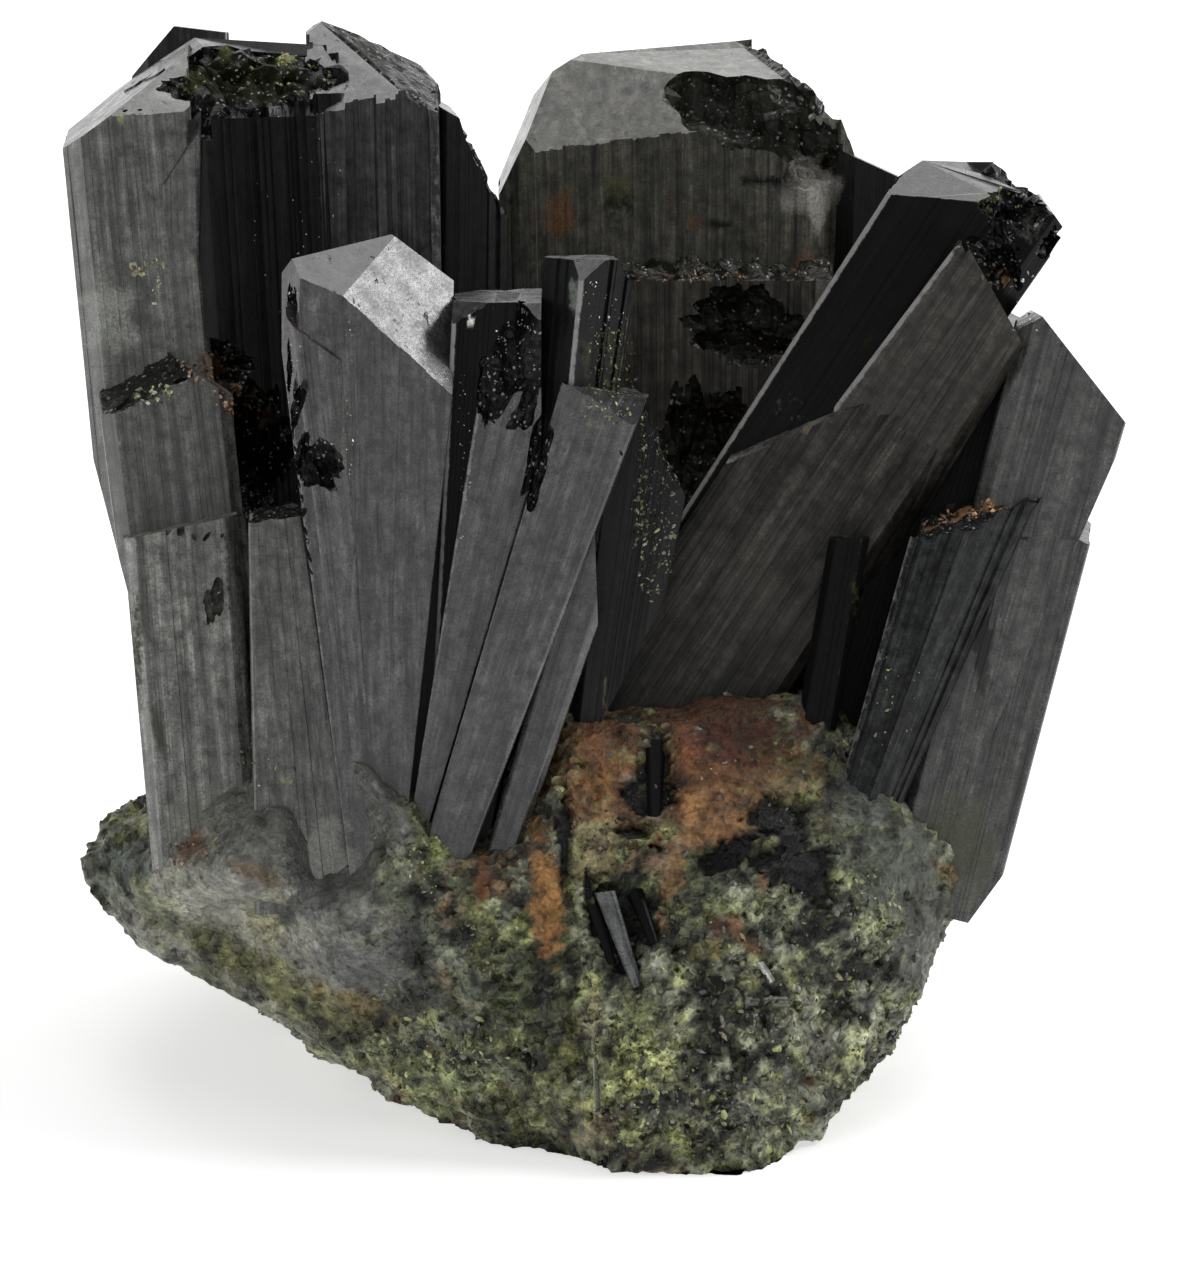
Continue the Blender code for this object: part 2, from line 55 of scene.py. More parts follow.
# %% From the fan to the model
MM = 0.001
LEAN = math.radians(18)
STANCE = Matrix.Rotation(-LEAN, 4, "X")
FAN_PLACE = Vector((0.393, -18.873, -0.309))
TO_MODEL = Matrix.Scale(MM, 4) @ Matrix.Translation(FAN_PLACE) @ STANCE
print("the fan's foot is at", TO_MODEL @ Vector((0, 0, 0)))

# %% [markdown]
# ## Floor, light and camera
# A black crystal has almost no colour of its own: what it shows is what it reflects. The wide faces look at a big
# dim softbox in front and turn an even grey, the slanting end face of the fan mirrors a small bright one high on
# the right, and faces that look to the lower right see nothing and stay black. The floor is a plain white sweep.

# %% Stage
VIEW_DISTANCE = 350.0
FRAME_HEIGHT = 51.44
VIEW_CENTRE = Vector((0, 0, 21.16))
SENSOR = 36.0


def facing(direction):
    """The turn that points an object's -Z along a direction."""
    return Vector(direction).to_track_quat("-Z", "Y").to_euler()


def softbox(name, direction, distance, width, height, strength):
    """An area light that looks at the cluster from a direction given in the fan's frame, with sizes in metres."""
    light = bpy.data.lights.new(name, "AREA")
    light.shape = "RECTANGLE"
    light.size, light.size_y = width, height
    light.energy = strength * width * height * math.pi
    lamp = bpy.data.objects.new(name, light)
    bpy.context.scene.collection.objects.link(lamp)
    towards = (STANCE.to_3x3() @ Vector(direction)).normalized()
    lamp.location = TO_MODEL @ VIEW_CENTRE + towards * distance
    lamp.rotation_euler = facing(-towards)


def plain_material(name, colour, roughness, glow):
    """A matt material that also shines a little by itself."""
    made = bpy.data.materials.new(name)
    made.use_nodes = True
    shader = made.node_tree.nodes["Principled BSDF"]
    shader.inputs["Base Color"].default_value = (*colour, 1)
    shader.inputs["Roughness"].default_value = roughness
    shader.inputs["Emission Color"].default_value = (1, 1, 1, 1)
    shader.inputs["Emission Strength"].default_value = glow
    return made


floor_bm = bmesh.new()
bmesh.ops.create_grid(floor_bm, x_segments=1, y_segments=1, size=2.0)
floor_mesh = bpy.data.meshes.new("floor")
floor_bm.to_mesh(floor_mesh)
floor_bm.free()
floor = bpy.data.objects.new("floor", floor_mesh)
bpy.context.scene.collection.objects.link(floor)
floor.data.materials.append(plain_material("white_floor", (0.8, 0.8, 0.8), 0.9, 0.55))

softbox("front_softbox", (-0.3, -0.94, 0.12), 0.9, 1.2, 0.9, 0.41)
softbox("left_softbox", (-0.97, -0.1, 0.2), 0.8, 0.25, 0.8, 1.8)
softbox("right_softbox", (0.76, 0.0, 0.65), 0.6, 0.22, 0.22, 9.7)
softbox("top_softbox", (0.1, 0.15, 0.98), 0.9, 0.9, 0.6, 2.3)
softbox("slope_softbox", (0.0, -0.45, 0.89), 0.9, 0.6, 0.35, 1.5)
softbox("back_softbox", (0.0, 0.8, 0.6), 1.2, 1.8, 0.7, 1.3)

world = bpy.data.worlds.new("studio")
world.use_nodes = True
world.node_tree.nodes["Background"].inputs["Color"].default_value = (1, 1, 1, 1)
world.node_tree.nodes["Background"].inputs["Strength"].default_value = 0.08
bpy.context.scene.world = world
bpy.context.scene.view_settings.view_transform = "Standard"

camera_data = bpy.data.cameras.new("camera")
camera_data.sensor_width = SENSOR
camera_data.lens = SENSOR * VIEW_DISTANCE / FRAME_HEIGHT
camera = bpy.data.objects.new("camera", camera_data)
bpy.context.scene.collection.objects.link(camera)
camera.location = TO_MODEL @ (VIEW_CENTRE - Vector((0, VIEW_DISTANCE, 0)))
camera.rotation_euler = facing(STANCE.to_3x3() @ Vector((0, 1, 0)))
bpy.context.scene.camera = camera
print("camera at", camera.location, "with a lens of", camera_data.lens)

# %% [markdown]
# ## Finishes
# Aegirine is nearly black and refracts strongly, with an index of about 1.78, so even a dull face reflects. Growth
# leaves hair-fine lines along each prism. They are drawn by noise that is squeezed across the prism and stretched
# along it, read from an attribute that each crystal carries: its own place in its own frame. More attributes say how
# dusty a place is, what covers it in crumbs or in painted highlight and painted shade, and where its long edges show
# wear and a painted highlight, so the dirt and the painted light stay where they belong.

# %% Material helpers
class Nodes:
    """A material's node tree, with a short way to add and link nodes."""

    def __init__(self, name):
        self.material = bpy.data.materials.new(name)
        self.material.use_nodes = True
        self.tree = self.material.node_tree
        self.shader = self.tree.nodes["Principled BSDF"]

    def feed(self, socket, value):
        """Links another node's socket, or sets a plain value."""
        if isinstance(value, bpy.types.NodeSocket):
            self.tree.links.new(value, socket)
        else:
            socket.default_value = value

    def add(self, kind, values=None, **settings):
        node = self.tree.nodes.new(kind)
        for key, value in settings.items():
            setattr(node, key, value)
        for key, value in (values or {}).items():
            self.feed(node.inputs[key], value)
        return node

    def place(self):
        """The place on the object, in millimetres."""
        return self.stretched(self.add("ShaderNodeTexCoord").outputs["Object"], (1000, 1000, 1000))

    def attribute(self, name, output="Fac"):
        return self.add("ShaderNodeAttribute", attribute_name=name).outputs[output]

    def noise(self, vector, scale, detail=4.0, roughness=0.6):
        values = {"Vector": vector, "Scale": scale, "Detail": detail, "Roughness": roughness}
        return self.add("ShaderNodeTexNoise", values).outputs["Fac"]

    def remap(self, value, low, high, to_low, to_high):
        values = {"Value": value, "From Min": low, "From Max": high, "To Min": to_low, "To Max": to_high}
        return self.add("ShaderNodeMapRange", values).outputs["Result"]

    def maths(self, operation, a, b):
        return self.add("ShaderNodeMath", {0: a, 1: b}, operation=operation).outputs[0]

    def mixed(self, share, a, b):
        return self.add("ShaderNodeMix", {0: share, 6: a, 7: b}, data_type="RGBA").outputs[2]

    def scaled(self, colour, factor):
        return self.add("ShaderNodeVectorMath", {0: colour, "Scale": factor}, operation="SCALE").outputs["Vector"]

    def plus(self, a, b):
        return self.add("ShaderNodeVectorMath", {0: a, 1: b}, operation="ADD").outputs["Vector"]

    def cells(self, vector, scale, output="Distance"):
        return self.add("ShaderNodeTexVoronoi", {"Vector": vector, "Scale": scale}).outputs[output]

    def stretched(self, vector, scale):
        return self.add("ShaderNodeMapping", {"Vector": vector, "Scale": scale}).outputs["Vector"]

    def plus_all(self, *values):
        total = values[0]
        for value in values[1:]:
            total = self.maths("ADD", total, value)
        return total

    def bumps(self, height, distance, strength, below=None):
        values = {"Height": height, "Distance": distance, "Strength": strength}
        if below is not None:
            values["Normal"] = below
        return self.add("ShaderNodeBump", values).outputs["Normal"]

    def set(self, **values):
        """Feeds the shader's own sockets, with an underscore for each space in their names."""
        for key, value in values.items():
            self.feed(self.shader.inputs[key.replace("_", " ")], value)


# %% The crystals' own faces, their ends, and where they are broken
AEGIRINE_IOR = 1.78
FACE, BREAK, END, SHADED, DEEP_SHADED = 0, 1, 2, 3, 4
# The pale colour of worn edges, which also paints the highlight that runs along them.
WEAR_AND_GLINT_COLOUR = (0.3, 0.29, 0.28, 1)


def dirt_and_painted_light(n, fibre, clean, dust=0.0, share=1.0):
    """The colour of a clean crystal with its thin film and its ragged patches of crumbs, painted highlight and
    painted shade. Dust is film that is everywhere.
    """
    specks = n.noise(fibre, 10.0, 3.0, 0.7)
    bands = n.noise(n.stretched(fibre, (2.4, 2.4, 0.12)), 1.0, 4.0, 0.65)
    mottle = n.noise(fibre, 1.6, 5.0, 0.7)
    hairs = n.noise(n.stretched(fibre, (7.0, 7.0, 0.2)), 1.0, 3.0, 0.6)
    uneven = n.maths("MULTIPLY", n.remap(bands, 0.3, 0.7, 0.15, 1.85), n.remap(mottle, 0.3, 0.7, 0.15, 1.9))
    fine = n.maths("MULTIPLY", n.remap(specks, 0.3, 0.7, 0.55, 1.45), n.remap(hairs, 0.3, 0.7, 0.6, 1.45))
    uneven = n.maths("MULTIPLY", uneven, fine)
    film = n.plus(n.attribute("film", "Color"), (dust, dust, dust * 0.96))
    filmed = n.plus(clean, n.scaled(film, n.maths("MULTIPLY", uneven, share)))
    ragged = n.noise(fibre, 3.2, 8.0, 0.8)
    # This mask comes from the patches, so besides crumbs it lays on painted highlight and painted shade.
    crumbs = n.remap(n.maths("SUBTRACT", n.maths("MULTIPLY", n.attribute("coat_and_painted_light"), 1.5), ragged), 0.0, 0.22, 0.0, 1.0)
    tint = n.scaled(n.attribute("tint", "Color"), n.remap(specks, 0.3, 0.7, 0.45, 1.5))
    return n.mixed(crumbs, filmed, tint), crumbs, specks


def face_finish(name, level, low, high, dust):
    """A striated face with its specular level, its lowest and highest roughness and its dust."""
    n = Nodes(name)
    fibre = n.attribute("fibre", "Vector")
    lines = n.noise(n.stretched(fibre, (9.0, 9.0, 0.25)), 1.0, 5.0, 0.65)
    clouds = n.noise(n.stretched(fibre, (0.5, 0.5, 0.2)), 1.0, 3.0, 0.6)
    black = n.mixed(clouds, (0.002, 0.002, 0.002, 1), (0.009, 0.009, 0.009, 1))
    colour, crumbs, specks = dirt_and_painted_light(n, fibre, black, dust)
    # The long edges are painted pale here: partly wear, partly a painted highlight along the edges.
    wear_and_glint = n.maths("ADD", n.attribute("wear_and_glint"), n.maths("MULTIPLY", n.noise(fibre, 2.5, 4.0, 0.7), 0.7))
    edge = n.remap(wear_and_glint, 0.75, 1.0, 0.0, 1.0)
    n.set(Base_Color=n.mixed(edge, colour, WEAR_AND_GLINT_COLOUR), IOR=AEGIRINE_IOR, Specular_IOR_Level=level)
    satin = n.maths("ADD", n.remap(lines, 0.3, 0.7, low, high), n.remap(specks, 0.35, 0.7, -0.05, 0.08))
    n.set(Roughness=n.maths("MAXIMUM", satin, n.maths("MULTIPLY", crumbs, 0.8)))
    fine = n.bumps(specks, 0.00003, 0.25)
    n.set(Normal=n.bumps(lines, 0.00003, 0.18, fine))
    return n.material


def end_finish():
    """A flat, glossier end face with small pits."""
    n = Nodes("aegirine_end")
    fibre = n.attribute("fibre", "Vector")
    mottle = n.noise(fibre, 1.3, 5.0, 0.65)
    specks = n.noise(fibre, 7.0, 3.0, 0.7)
    pits = n.noise(n.stretched(fibre, (2.2, 2.2, 0.7)), 1.0, 4.0, 0.7)
    colour, crumbs, _ = dirt_and_painted_light(n, fibre, (0.013, 0.013, 0.014), 0.02)
    n.set(Base_Color=colour, IOR=AEGIRINE_IOR)
    gloss = n.maths("ADD", n.remap(mottle, 0.35, 0.65, 0.17, 0.33), n.remap(specks, 0.3, 0.7, -0.05, 0.1))
    n.set(Roughness=n.maths("MAXIMUM", gloss, n.maths("MULTIPLY", crumbs, 0.8)))
    n.set(Normal=n.bumps(n.remap(pits, 0.28, 0.36, 0.0, 1.0), 0.00008, 0.6, n.bumps(specks, 0.00003, 0.3)))
    return n.material


def break_finish():
    """A glassy, splintery break, with a few pale dots painted into its colour as highlights where facets would glint.
    """
    n = Nodes("aegirine_break")
    fibre = n.attribute("fibre", "Vector")
    splinters = n.noise(n.stretched(fibre, (5.0, 5.0, 1.5)), 1.0, 4.0, 0.6)
    shards = n.cells(fibre, 3.0)
    colour, crumbs, specks = dirt_and_painted_light(n, fibre, (0.006, 0.007, 0.006), share=0.35)
    # Painted highlights: the rarest cells turn pale, standing in for facets that glint.
    glint_cells = n.add("ShaderNodeSeparateColor", {0: n.cells(fibre, 10.0, "Color")}).outputs[0]
    painted_glints = n.mixed(n.remap(glint_cells, 0.965, 0.98, 0.0, 1.0), colour, (0.32, 0.32, 0.3, 1))
    n.set(Base_Color=painted_glints, IOR=AEGIRINE_IOR, Specular_IOR_Level=0.09)
    n.set(Roughness=n.maths("MAXIMUM", n.remap(specks, 0.35, 0.7, 0.12, 0.3), n.maths("MULTIPLY", crumbs, 0.7)))
    n.set(Normal=n.bumps(shards, 0.00015, 0.5, n.bumps(splinters, 0.0002, 0.35)))
    return n.material


# The last two finishes are duller copies of the face, with a lower specular level and less dust: painted shade for
# crystals that look darker because they turn away from the lights or stand in the shadow of the fan.
FINISHES = [
    face_finish("aegirine_face", 0.5, 0.22, 0.34, 0.042), break_finish(), end_finish(),
    face_finish("aegirine_shade", 0.14, 0.26, 0.42, 0.004), face_finish("aegirine_deep_shade", 0.05, 0.16, 0.3, 0.001),
]
print("finishes:", [f.name for f in FINISHES])

# %% [markdown]
# ## Colours and patches
# Dust, rust and green crumbs lie in patches, and so do painted highlights and painted shade. A patch is a ragged
# ellipse, seen from the front, with its middle and its radii along x and z in millimetres. The same few lines place
# the coloured patches of the rock further down.

# %% Patches
ROOM_LIGHT = 0.62
SHEEN = 0.012


def seen(red, green, blue):
    """The albedo that looks like this colour, from 0 to 255, in the light of this scene."""
    linear = [(c / 255 / 12.92) if c < 11 else ((c / 255 + 0.055) / 1.055) ** 2.4 for c in (red, green, blue)]
    return tuple(max(0.002, (c - SHEEN) / ROOM_LIGHT) for c in linear)


class Patch:
    """A ragged ellipse. Its strength is how thickly it covers a crystal, or how granular the rock is there."""

    def __init__(self, x, z, radius_x, radius_z, colour, strength, turn=0.0, edge=1.7):
        self.middle, self.radii, self.colour = (x, z), (radius_x, radius_z), Vector(colour)
        self.strength, self.turn, self.edge = strength, math.radians(turn), edge
        self.reach = 2.1 * max(self.radii)

    def share(self, place, ragged):
        """How much of the patch there is at a place in the fan's frame: 1 well inside, 0 outside."""
        across, up = place.x - self.middle[0], place.z - self.middle[1]
        if abs(across) > self.reach or abs(up) > self.reach:
            return 0.0
        cos, sin = math.cos(self.turn), math.sin(self.turn)
        across, up = across * cos + up * sin, up * cos - across * sin
        reach = math.hypot(across / self.radii[0], up / self.radii[1])
        return min(1.0, max(0.0, (1.1 - reach + ragged) * self.edge))


RED_CLAY = seen(66, 45, 33)
RUST = seen(92, 66, 49)
ORANGE = seen(136, 104, 74)
TAN = seen(114, 91, 68)
KHAKI = seen(116, 110, 80)
MUSTARD = seen(114, 106, 66)
YELLOW_GREEN = seen(126, 130, 88)
PALE_GREEN = seen(148, 152, 112)
OLIVE = seen(78, 80, 54)
DEEP_GREEN = seen(44, 48, 34)
GREY_GREEN = seen(94, 96, 84)
STONE = seen(88, 88, 83)
# The pale colour is a painted highlight, for small facets and edges that glint.
PAINTED_HIGHLIGHT = seen(190, 188, 182)
COAL = seen(26, 27, 25)
DUST = seen(92, 92, 86)
GREEN_GRAINS = (YELLOW_GREEN, PALE_GREEN, OLIVE, DEEP_GREEN, GREY_GREEN, seen(104, 110, 76))
CREAM_GRAINS = (seen(160, 158, 138), PALE_GREEN, seen(128, 124, 100))
RUST_GRAINS = (RUST, RED_CLAY, TAN, seen(70, 52, 42), seen(130, 110, 92))
# The brightest grains are painted highlights: tiny pale lumps where the crystal faces sparkle.
PAINTED_GLINT_GRAINS = (PAINTED_HIGHLIGHT, seen(230, 230, 226), seen(180, 176, 160))
print("colours as albedo, for example yellow-green:", [round(c, 3) for c in YELLOW_GREEN])


# %% [markdown]
# ## One prism
# Each crystal starts as one many-sided face: a rectangle with cut corners, whose wide sides are stepped where
# parallel laths of crystal ended side by side. The face is extruded along the prism and cut across into rows, so
# the steps can fade in and out as they run. Planes then cut the end faces, which leaves them flat and sharp.

# %% A prism's outline
STRIP = 1.1
NARROWEST = 1.3
LATH = 0.19
EDGE = 0.045


def slab(width, depth, cuts):
    """A rectangle whose corners are cut, from the front left one to the front right, back right and back left."""
    right, back = width / 2, depth / 2
    points = []
    for side, end, cut in zip((-1, 1, 1, -1), (-1, -1, 1, 1), cuts):
        beside, before = (side * right, end * (back - cut)), (side * (right - cut), end * back)
        points += [beside, before] if side * end > 0 else [before, beside]
    return [Vector(p) for p in points]


class Lath:
    """A strip of one side: where it starts and ends, the way in, and how deep it lies."""

    def __init__(self, start, end, inward, depth, seed):
        self.start, self.end, self.inward, self.depth, self.seed = start, end, inward, depth, seed


def strips(side, ridge, rng):
    """Where along a side its flat strips end, and how deep each lies."""
    if side.length < NARROWEST:
        return [(1.0, 0.0)]
    count = max(2, round(side.length / STRIP))
    ends, level = [], 0.0
    for i in range(1, count):
        ends.append(((i + rng.uniform(-0.28, 0.28)) / count, level))
        level = rng.uniform(0.2, 1.0) * ridge if level == 0.0 else 0.0
    ends.append((1.0, level))
    return ends


def laths(outline, ridge, grain, seed):
    """The outline's sides as narrow laths."""
    coarse, fine = random.Random(seed), random.Random(seed + 500)
    made = []
    for start, end in zip(outline, outline[1:] + outline[:1]):
        side = end - start
        inward = Vector((-side.y, side.x)).normalized()
        levels = strips(side, ridge, coarse)
        width = LATH if side.y == 0 and side.x > 0 else 2 * LATH
        count = max(1, round((side.length - 2 * EDGE) / width))
        cuts = [0.0] + [(i + fine.uniform(-0.35, 0.35)) / count for i in range(1, count)] + [1.0]
        room = (side.length - 2 * EDGE) / side.length
        for low, high in zip(cuts, cuts[1:]):
            middle = (low + high) / 2
            depth = next(level for until, level in levels if middle <= until)
            depth += grain * fine.random() ** 3 if 0.0 < low and high < 1.0 else 0.0
            first = start + side * (EDGE / side.length + low * room)
            last = start + side * (EDGE / side.length + high * room)
            made.append(Lath(first, last, inward, depth, fine.random() * 100))
    return made


# %% A prism as a mesh
ROW = 0.9
SPARE = 5.0
LATH_ENDS = (0.04, 0.96)
FADE = 0.035


def prism(strip_list, length, taper):
    """A bmesh of the prism along z, with its laths sunk to their depths."""
    bm = bmesh.new()
    foot, lath_at = [], {}
    for lath in strip_list:
        for along in LATH_ENDS:
            place = lath.start.lerp(lath.end, along)
            foot.append(bm.verts.new((place.x, place.y, 0)))
            lath_at[round(place.x, 4), round(place.y, 4)] = lath
    made = bmesh.ops.extrude_face_region(bm, geom=[bm.faces.new(foot)])
    top = [v for v in made["geom"] if isinstance(v, bmesh.types.BMVert)]
    bmesh.ops.translate(bm, vec=(0, 0, length + SPARE), verts=top)
    upright = [e for e in bm.edges if abs(e.verts[0].co.z - e.verts[1].co.z) > 1]
    rows = max(4, round((length + SPARE) / ROW))
    bmesh.ops.subdivide_edges(bm, edges=upright, cuts=rows - 1)
    row = (length + SPARE) / rows
    for vert in bm.verts:
        lath = lath_at[round(vert.co.x, 4), round(vert.co.y, 4)]
        vert.co.z = round(vert.co.z / row) * row
        fade = noise.noise(Vector((lath.seed, vert.co.z * 0.16, 0.0)))
        sunk = lath.depth + (FADE * max(0.0, fade) if lath.depth > 0 else 0.0)
        wide = taper + (1 - taper) * vert.co.z / length
        place = Vector(vert.co.xy) + lath.inward * sunk
        vert.co.x, vert.co.y = place.x * wide, place.y * wide
    return bm


def in_order(bm):
    """Sorts a mesh by place, because the order that some operators leave it in changes from run to run."""
    middles = ((bm.verts, lambda v: v.co), (bm.edges, lambda e: e.verts[0].co + e.verts[1].co),
               (bm.faces, lambda f: f.calc_center_median()))
    for parts, middle in middles:
        for i, part in enumerate(sorted(parts, key=lambda p: tuple(round(c, 3) for c in middle(p)))):
            part.index = i
        parts.sort()


def way(azimuth, slope):
    """The way a face looks: azimuth 0 to the front and 90 to the right, slope 0 level and 90 upright."""
    side, steep = math.radians(azimuth), math.radians(slope)
    return Vector((math.sin(side) * math.sin(steep), -math.cos(side) * math.sin(steep), math.cos(steep)))


def cut_flat(bm, place, normal):
    """Cuts off what lies beyond a plane through a place, and closes the cut with an end face."""
    everything = bm.verts[:] + bm.edges[:] + bm.faces[:]
    cut = bmesh.ops.bisect_plane(bm, geom=everything, plane_co=place, plane_no=normal, clear_outer=True)
    rim = [e for e in cut["geom_cut"] if isinstance(e, bmesh.types.BMEdge)]
    if rim:
        for face in bmesh.ops.edgeloop_fill(bm, edges=rim)["faces"]:
            face.material_index = END


BREAK_FACET = 0.22
BREAK_BLOCK = 0.7


def cut_small(bm, face, normal):
    """Replaces a flat face with a net of small triangles between its own points, and returns them."""
    across = normal.orthogonal().normalized()
    up = normal.cross(across)
    rim = list(face.verts)
    flat = [Vector((v.co.dot(across), v.co.dot(up))) for v in rim]
    level, facet, points = rim[0].co.dot(normal), BREAK_FACET, list(flat)
    for i in range(int(min(p.x for p in flat) / facet), int(max(p.x for p in flat) / facet) + 1):
        for j in range(int(min(p.y for p in flat) / facet), int(max(p.y for p in flat) / facet) + 1):
            shift = noise.noise_vector(Vector((i * 1.7, j * 1.7, level))) * 0.6
            spot = Vector((i + 0.5 * (j % 2) + shift.x, j + shift.y)) * facet
            sides = zip(flat[-1:] + flat[:-1], flat)
            if all((spot - nearest_on(spot, *side)).length > 0.4 * facet for side in sides):
                points.append(spot)
    net = geometry.delaunay_2d_cdt(points, [], [list(range(len(flat)))], 1, 1e-6)
    made = rim + [bm.verts.new(across * p.x + up * p.y + normal * level) for p in points[len(rim):]]
    bm.faces.remove(face)
    small = []
    for corners in net[2]:
        a, b, c = (made[net[3][k][0]] for k in corners)
        faces_out = (b.co - a.co).cross(c.co - a.co).dot(normal) > 0
        small.append(bm.faces.new((a, b, c) if faces_out else (a, c, b)))
    for vert in made[len(rim):]:
        if not vert.link_faces:
            bm.verts.remove(vert)
    return small


def nearest_on(spot, start, end):
    """The place on a side that is nearest to a spot."""
    along = geometry.intersect_point_line(spot, start, end)[1]
    return start.lerp(end, min(1.0, max(0.0, along)))


def break_end(bm, place, normal, height, seed):
    """Makes a flat end face splintery: it is cut small, and its points sink in tilted blocks."""
    flat = [f for f in bm.faces if all(abs((v.co - Vector(place)).dot(normal)) < 1e-3 for v in f.verts)]
    offset = Vector((seed * 1.3, seed * 0.7, 0))
    faces = [small for face in flat for small in cut_small(bm, face, normal)]
    for vert in {v for f in faces for v in f.verts}:
        scaled = vert.co / BREAK_BLOCK + offset
        block = Vector(noise.voronoi(scaled)[1][0])
        tilt = (scaled - block).dot(random_way(block, 1.0)) * 0.9 + noise.noise(block * 3.1)
        vert.co -= normal * height * max(0.0, 0.55 + 0.6 * tilt + 0.5 * noise.noise(vert.co * 0.6 + offset))
    for face in faces:
        face.material_index = BREAK


def random_way(place, turn):
    """The same arbitrary direction each time for the same place."""
    return noise.noise_vector(place * 5.7 + Vector((turn, 0, 0))).normalized()


def axis_frame(root, tip, turn):
    """The matrix from a crystal's own frame, with z along it, to the fan's."""
    axis = (tip - root).normalized()
    right = Vector((0, 1, 0)).cross(axis).normalized()
    across = Matrix((right, axis.cross(right), axis)).transposed().to_4x4()
    return Matrix.Translation(root) @ across @ Matrix.Rotation(math.radians(turn), 4, "Z")


def mesh_object(bm, name, finishes):
    """An object made of a bmesh, which is used up."""
    bmesh.ops.recalc_face_normals(bm, faces=bm.faces)
    mesh = bpy.data.meshes.new(name)
    bm.to_mesh(mesh)
    bm.free()
    for finish in finishes:
        mesh.materials.append(finish)
    made = bpy.data.objects.new(name, mesh)
    bpy.context.scene.collection.objects.link(made)
    return made


# %% [markdown]
# ## Broken hollows
# Aegirine has no neat way to break across its laths: a chip leaves a dark, glassy, splintery hollow. Each one is
# cut with a Boolean by a lumpy ball, and the cut takes over the ball's material, so the break gets its own finish.

# %% Hollows
def roughened(bm, layers, seed):
    """Moves every point along its normal by noise. Each layer is (height, width of a lump)."""
    bm.normal_update()
    offset = Vector((seed * 3.1, seed * 1.7, seed * 2.3))
    shifts = []
    for vert in bm.verts:
        height = sum(h * noise.noise(vert.co / w + offset) for h, w in layers)
        shifts.append(vert.normal * height)
    for vert, shift in zip(bm.verts, shifts):
        vert.co += shift


def hollow(place, radii, lean=0.0, seed=1, rough=1.0):
    """A lumpy ball that is cut out of a crystal, in the fan's frame. Rough is how splintery it is."""
    bm = bmesh.new()
    bmesh.ops.create_icosphere(bm, subdivisions=4, radius=1)
    roughened(bm, ((0.5, 0.8), (0.3 * rough, 0.3), (0.12 * rough, 0.14)), seed)
    bmesh.ops.scale(bm, vec=radii, verts=bm.verts)
    bm.transform(Matrix.Translation(place) @ Matrix.Rotation(math.radians(lean), 4, "Y"))
    for face in bm.faces:
        face.material_index = BREAK
    return mesh_object(bm, "hollow", FINISHES)


def nicks(start, end, count, size, seed):
    """Small chips along an edge, as one cutter made of several balls."""
    rng = random.Random(seed)
    start, end = Vector(start), Vector(end)
    bm = bmesh.new()
    for i in range(count):
        place = start.lerp(end, (i + rng.uniform(0.2, 0.8)) / count)
        scale = Matrix.Diagonal((rng.uniform(0.3, 0.8), rng.uniform(0.3, 0.8), rng.uniform(0.8, 2.2), 1)).to_4x4()
        turn = Matrix.Rotation(rng.uniform(-0.7, 0.7), 4, "Y") @ Matrix.Rotation(rng.uniform(-0.5, 0.5), 4, "X")
        matrix = Matrix.Translation(place) @ turn @ scale @ Matrix.Scale(size * rng.uniform(0.5, 1.0), 4)
        bmesh.ops.create_icosphere(bm, subdivisions=1, radius=1, matrix=matrix)
    for face in bm.faces:
        face.material_index = BREAK
    return mesh_object(bm, "nicks", FINISHES)


def applied(thing):
    """Replaces an object's mesh by what its modifiers make of it."""
    bpy.context.view_layer.update()
    graph = bpy.context.evaluated_depsgraph_get()
    thing.data = bpy.data.meshes.new_from_object(thing.evaluated_get(graph))
    thing.modifiers.clear()


def break_out(thing, hollows):
    """Cuts the hollows out of an object, one after the other."""
    for i, cutter in enumerate(hollows):
        modifier = thing.modifiers.new(f"break_{i}", "BOOLEAN")
        modifier.operation = "DIFFERENCE"
        modifier.solver = "MANIFOLD"
        modifier.material_mode = "TRANSFER"
        modifier.object = cutter
    applied(thing)
    for cutter in hollows:
        bpy.data.objects.remove(cutter, do_unlink=True)


# %% One crystal
# Each long edge is painted pale in a narrow band: partly wear, partly a painted highlight where the edge catches light.
WEAR_AND_GLINT_WIDTH = 0.15
WEAR_AND_GLINT_EDGES = (0.45, 0.5, 0.5, 0.4, 0.3, 0.2, 0.2, 0.3)


def put(thing, name, kind, field, values):
    """Stores one value, or one triple, for each point of an object."""
    thing.data.attributes.new(name, kind, "POINT").data.foreach_set(field, values)


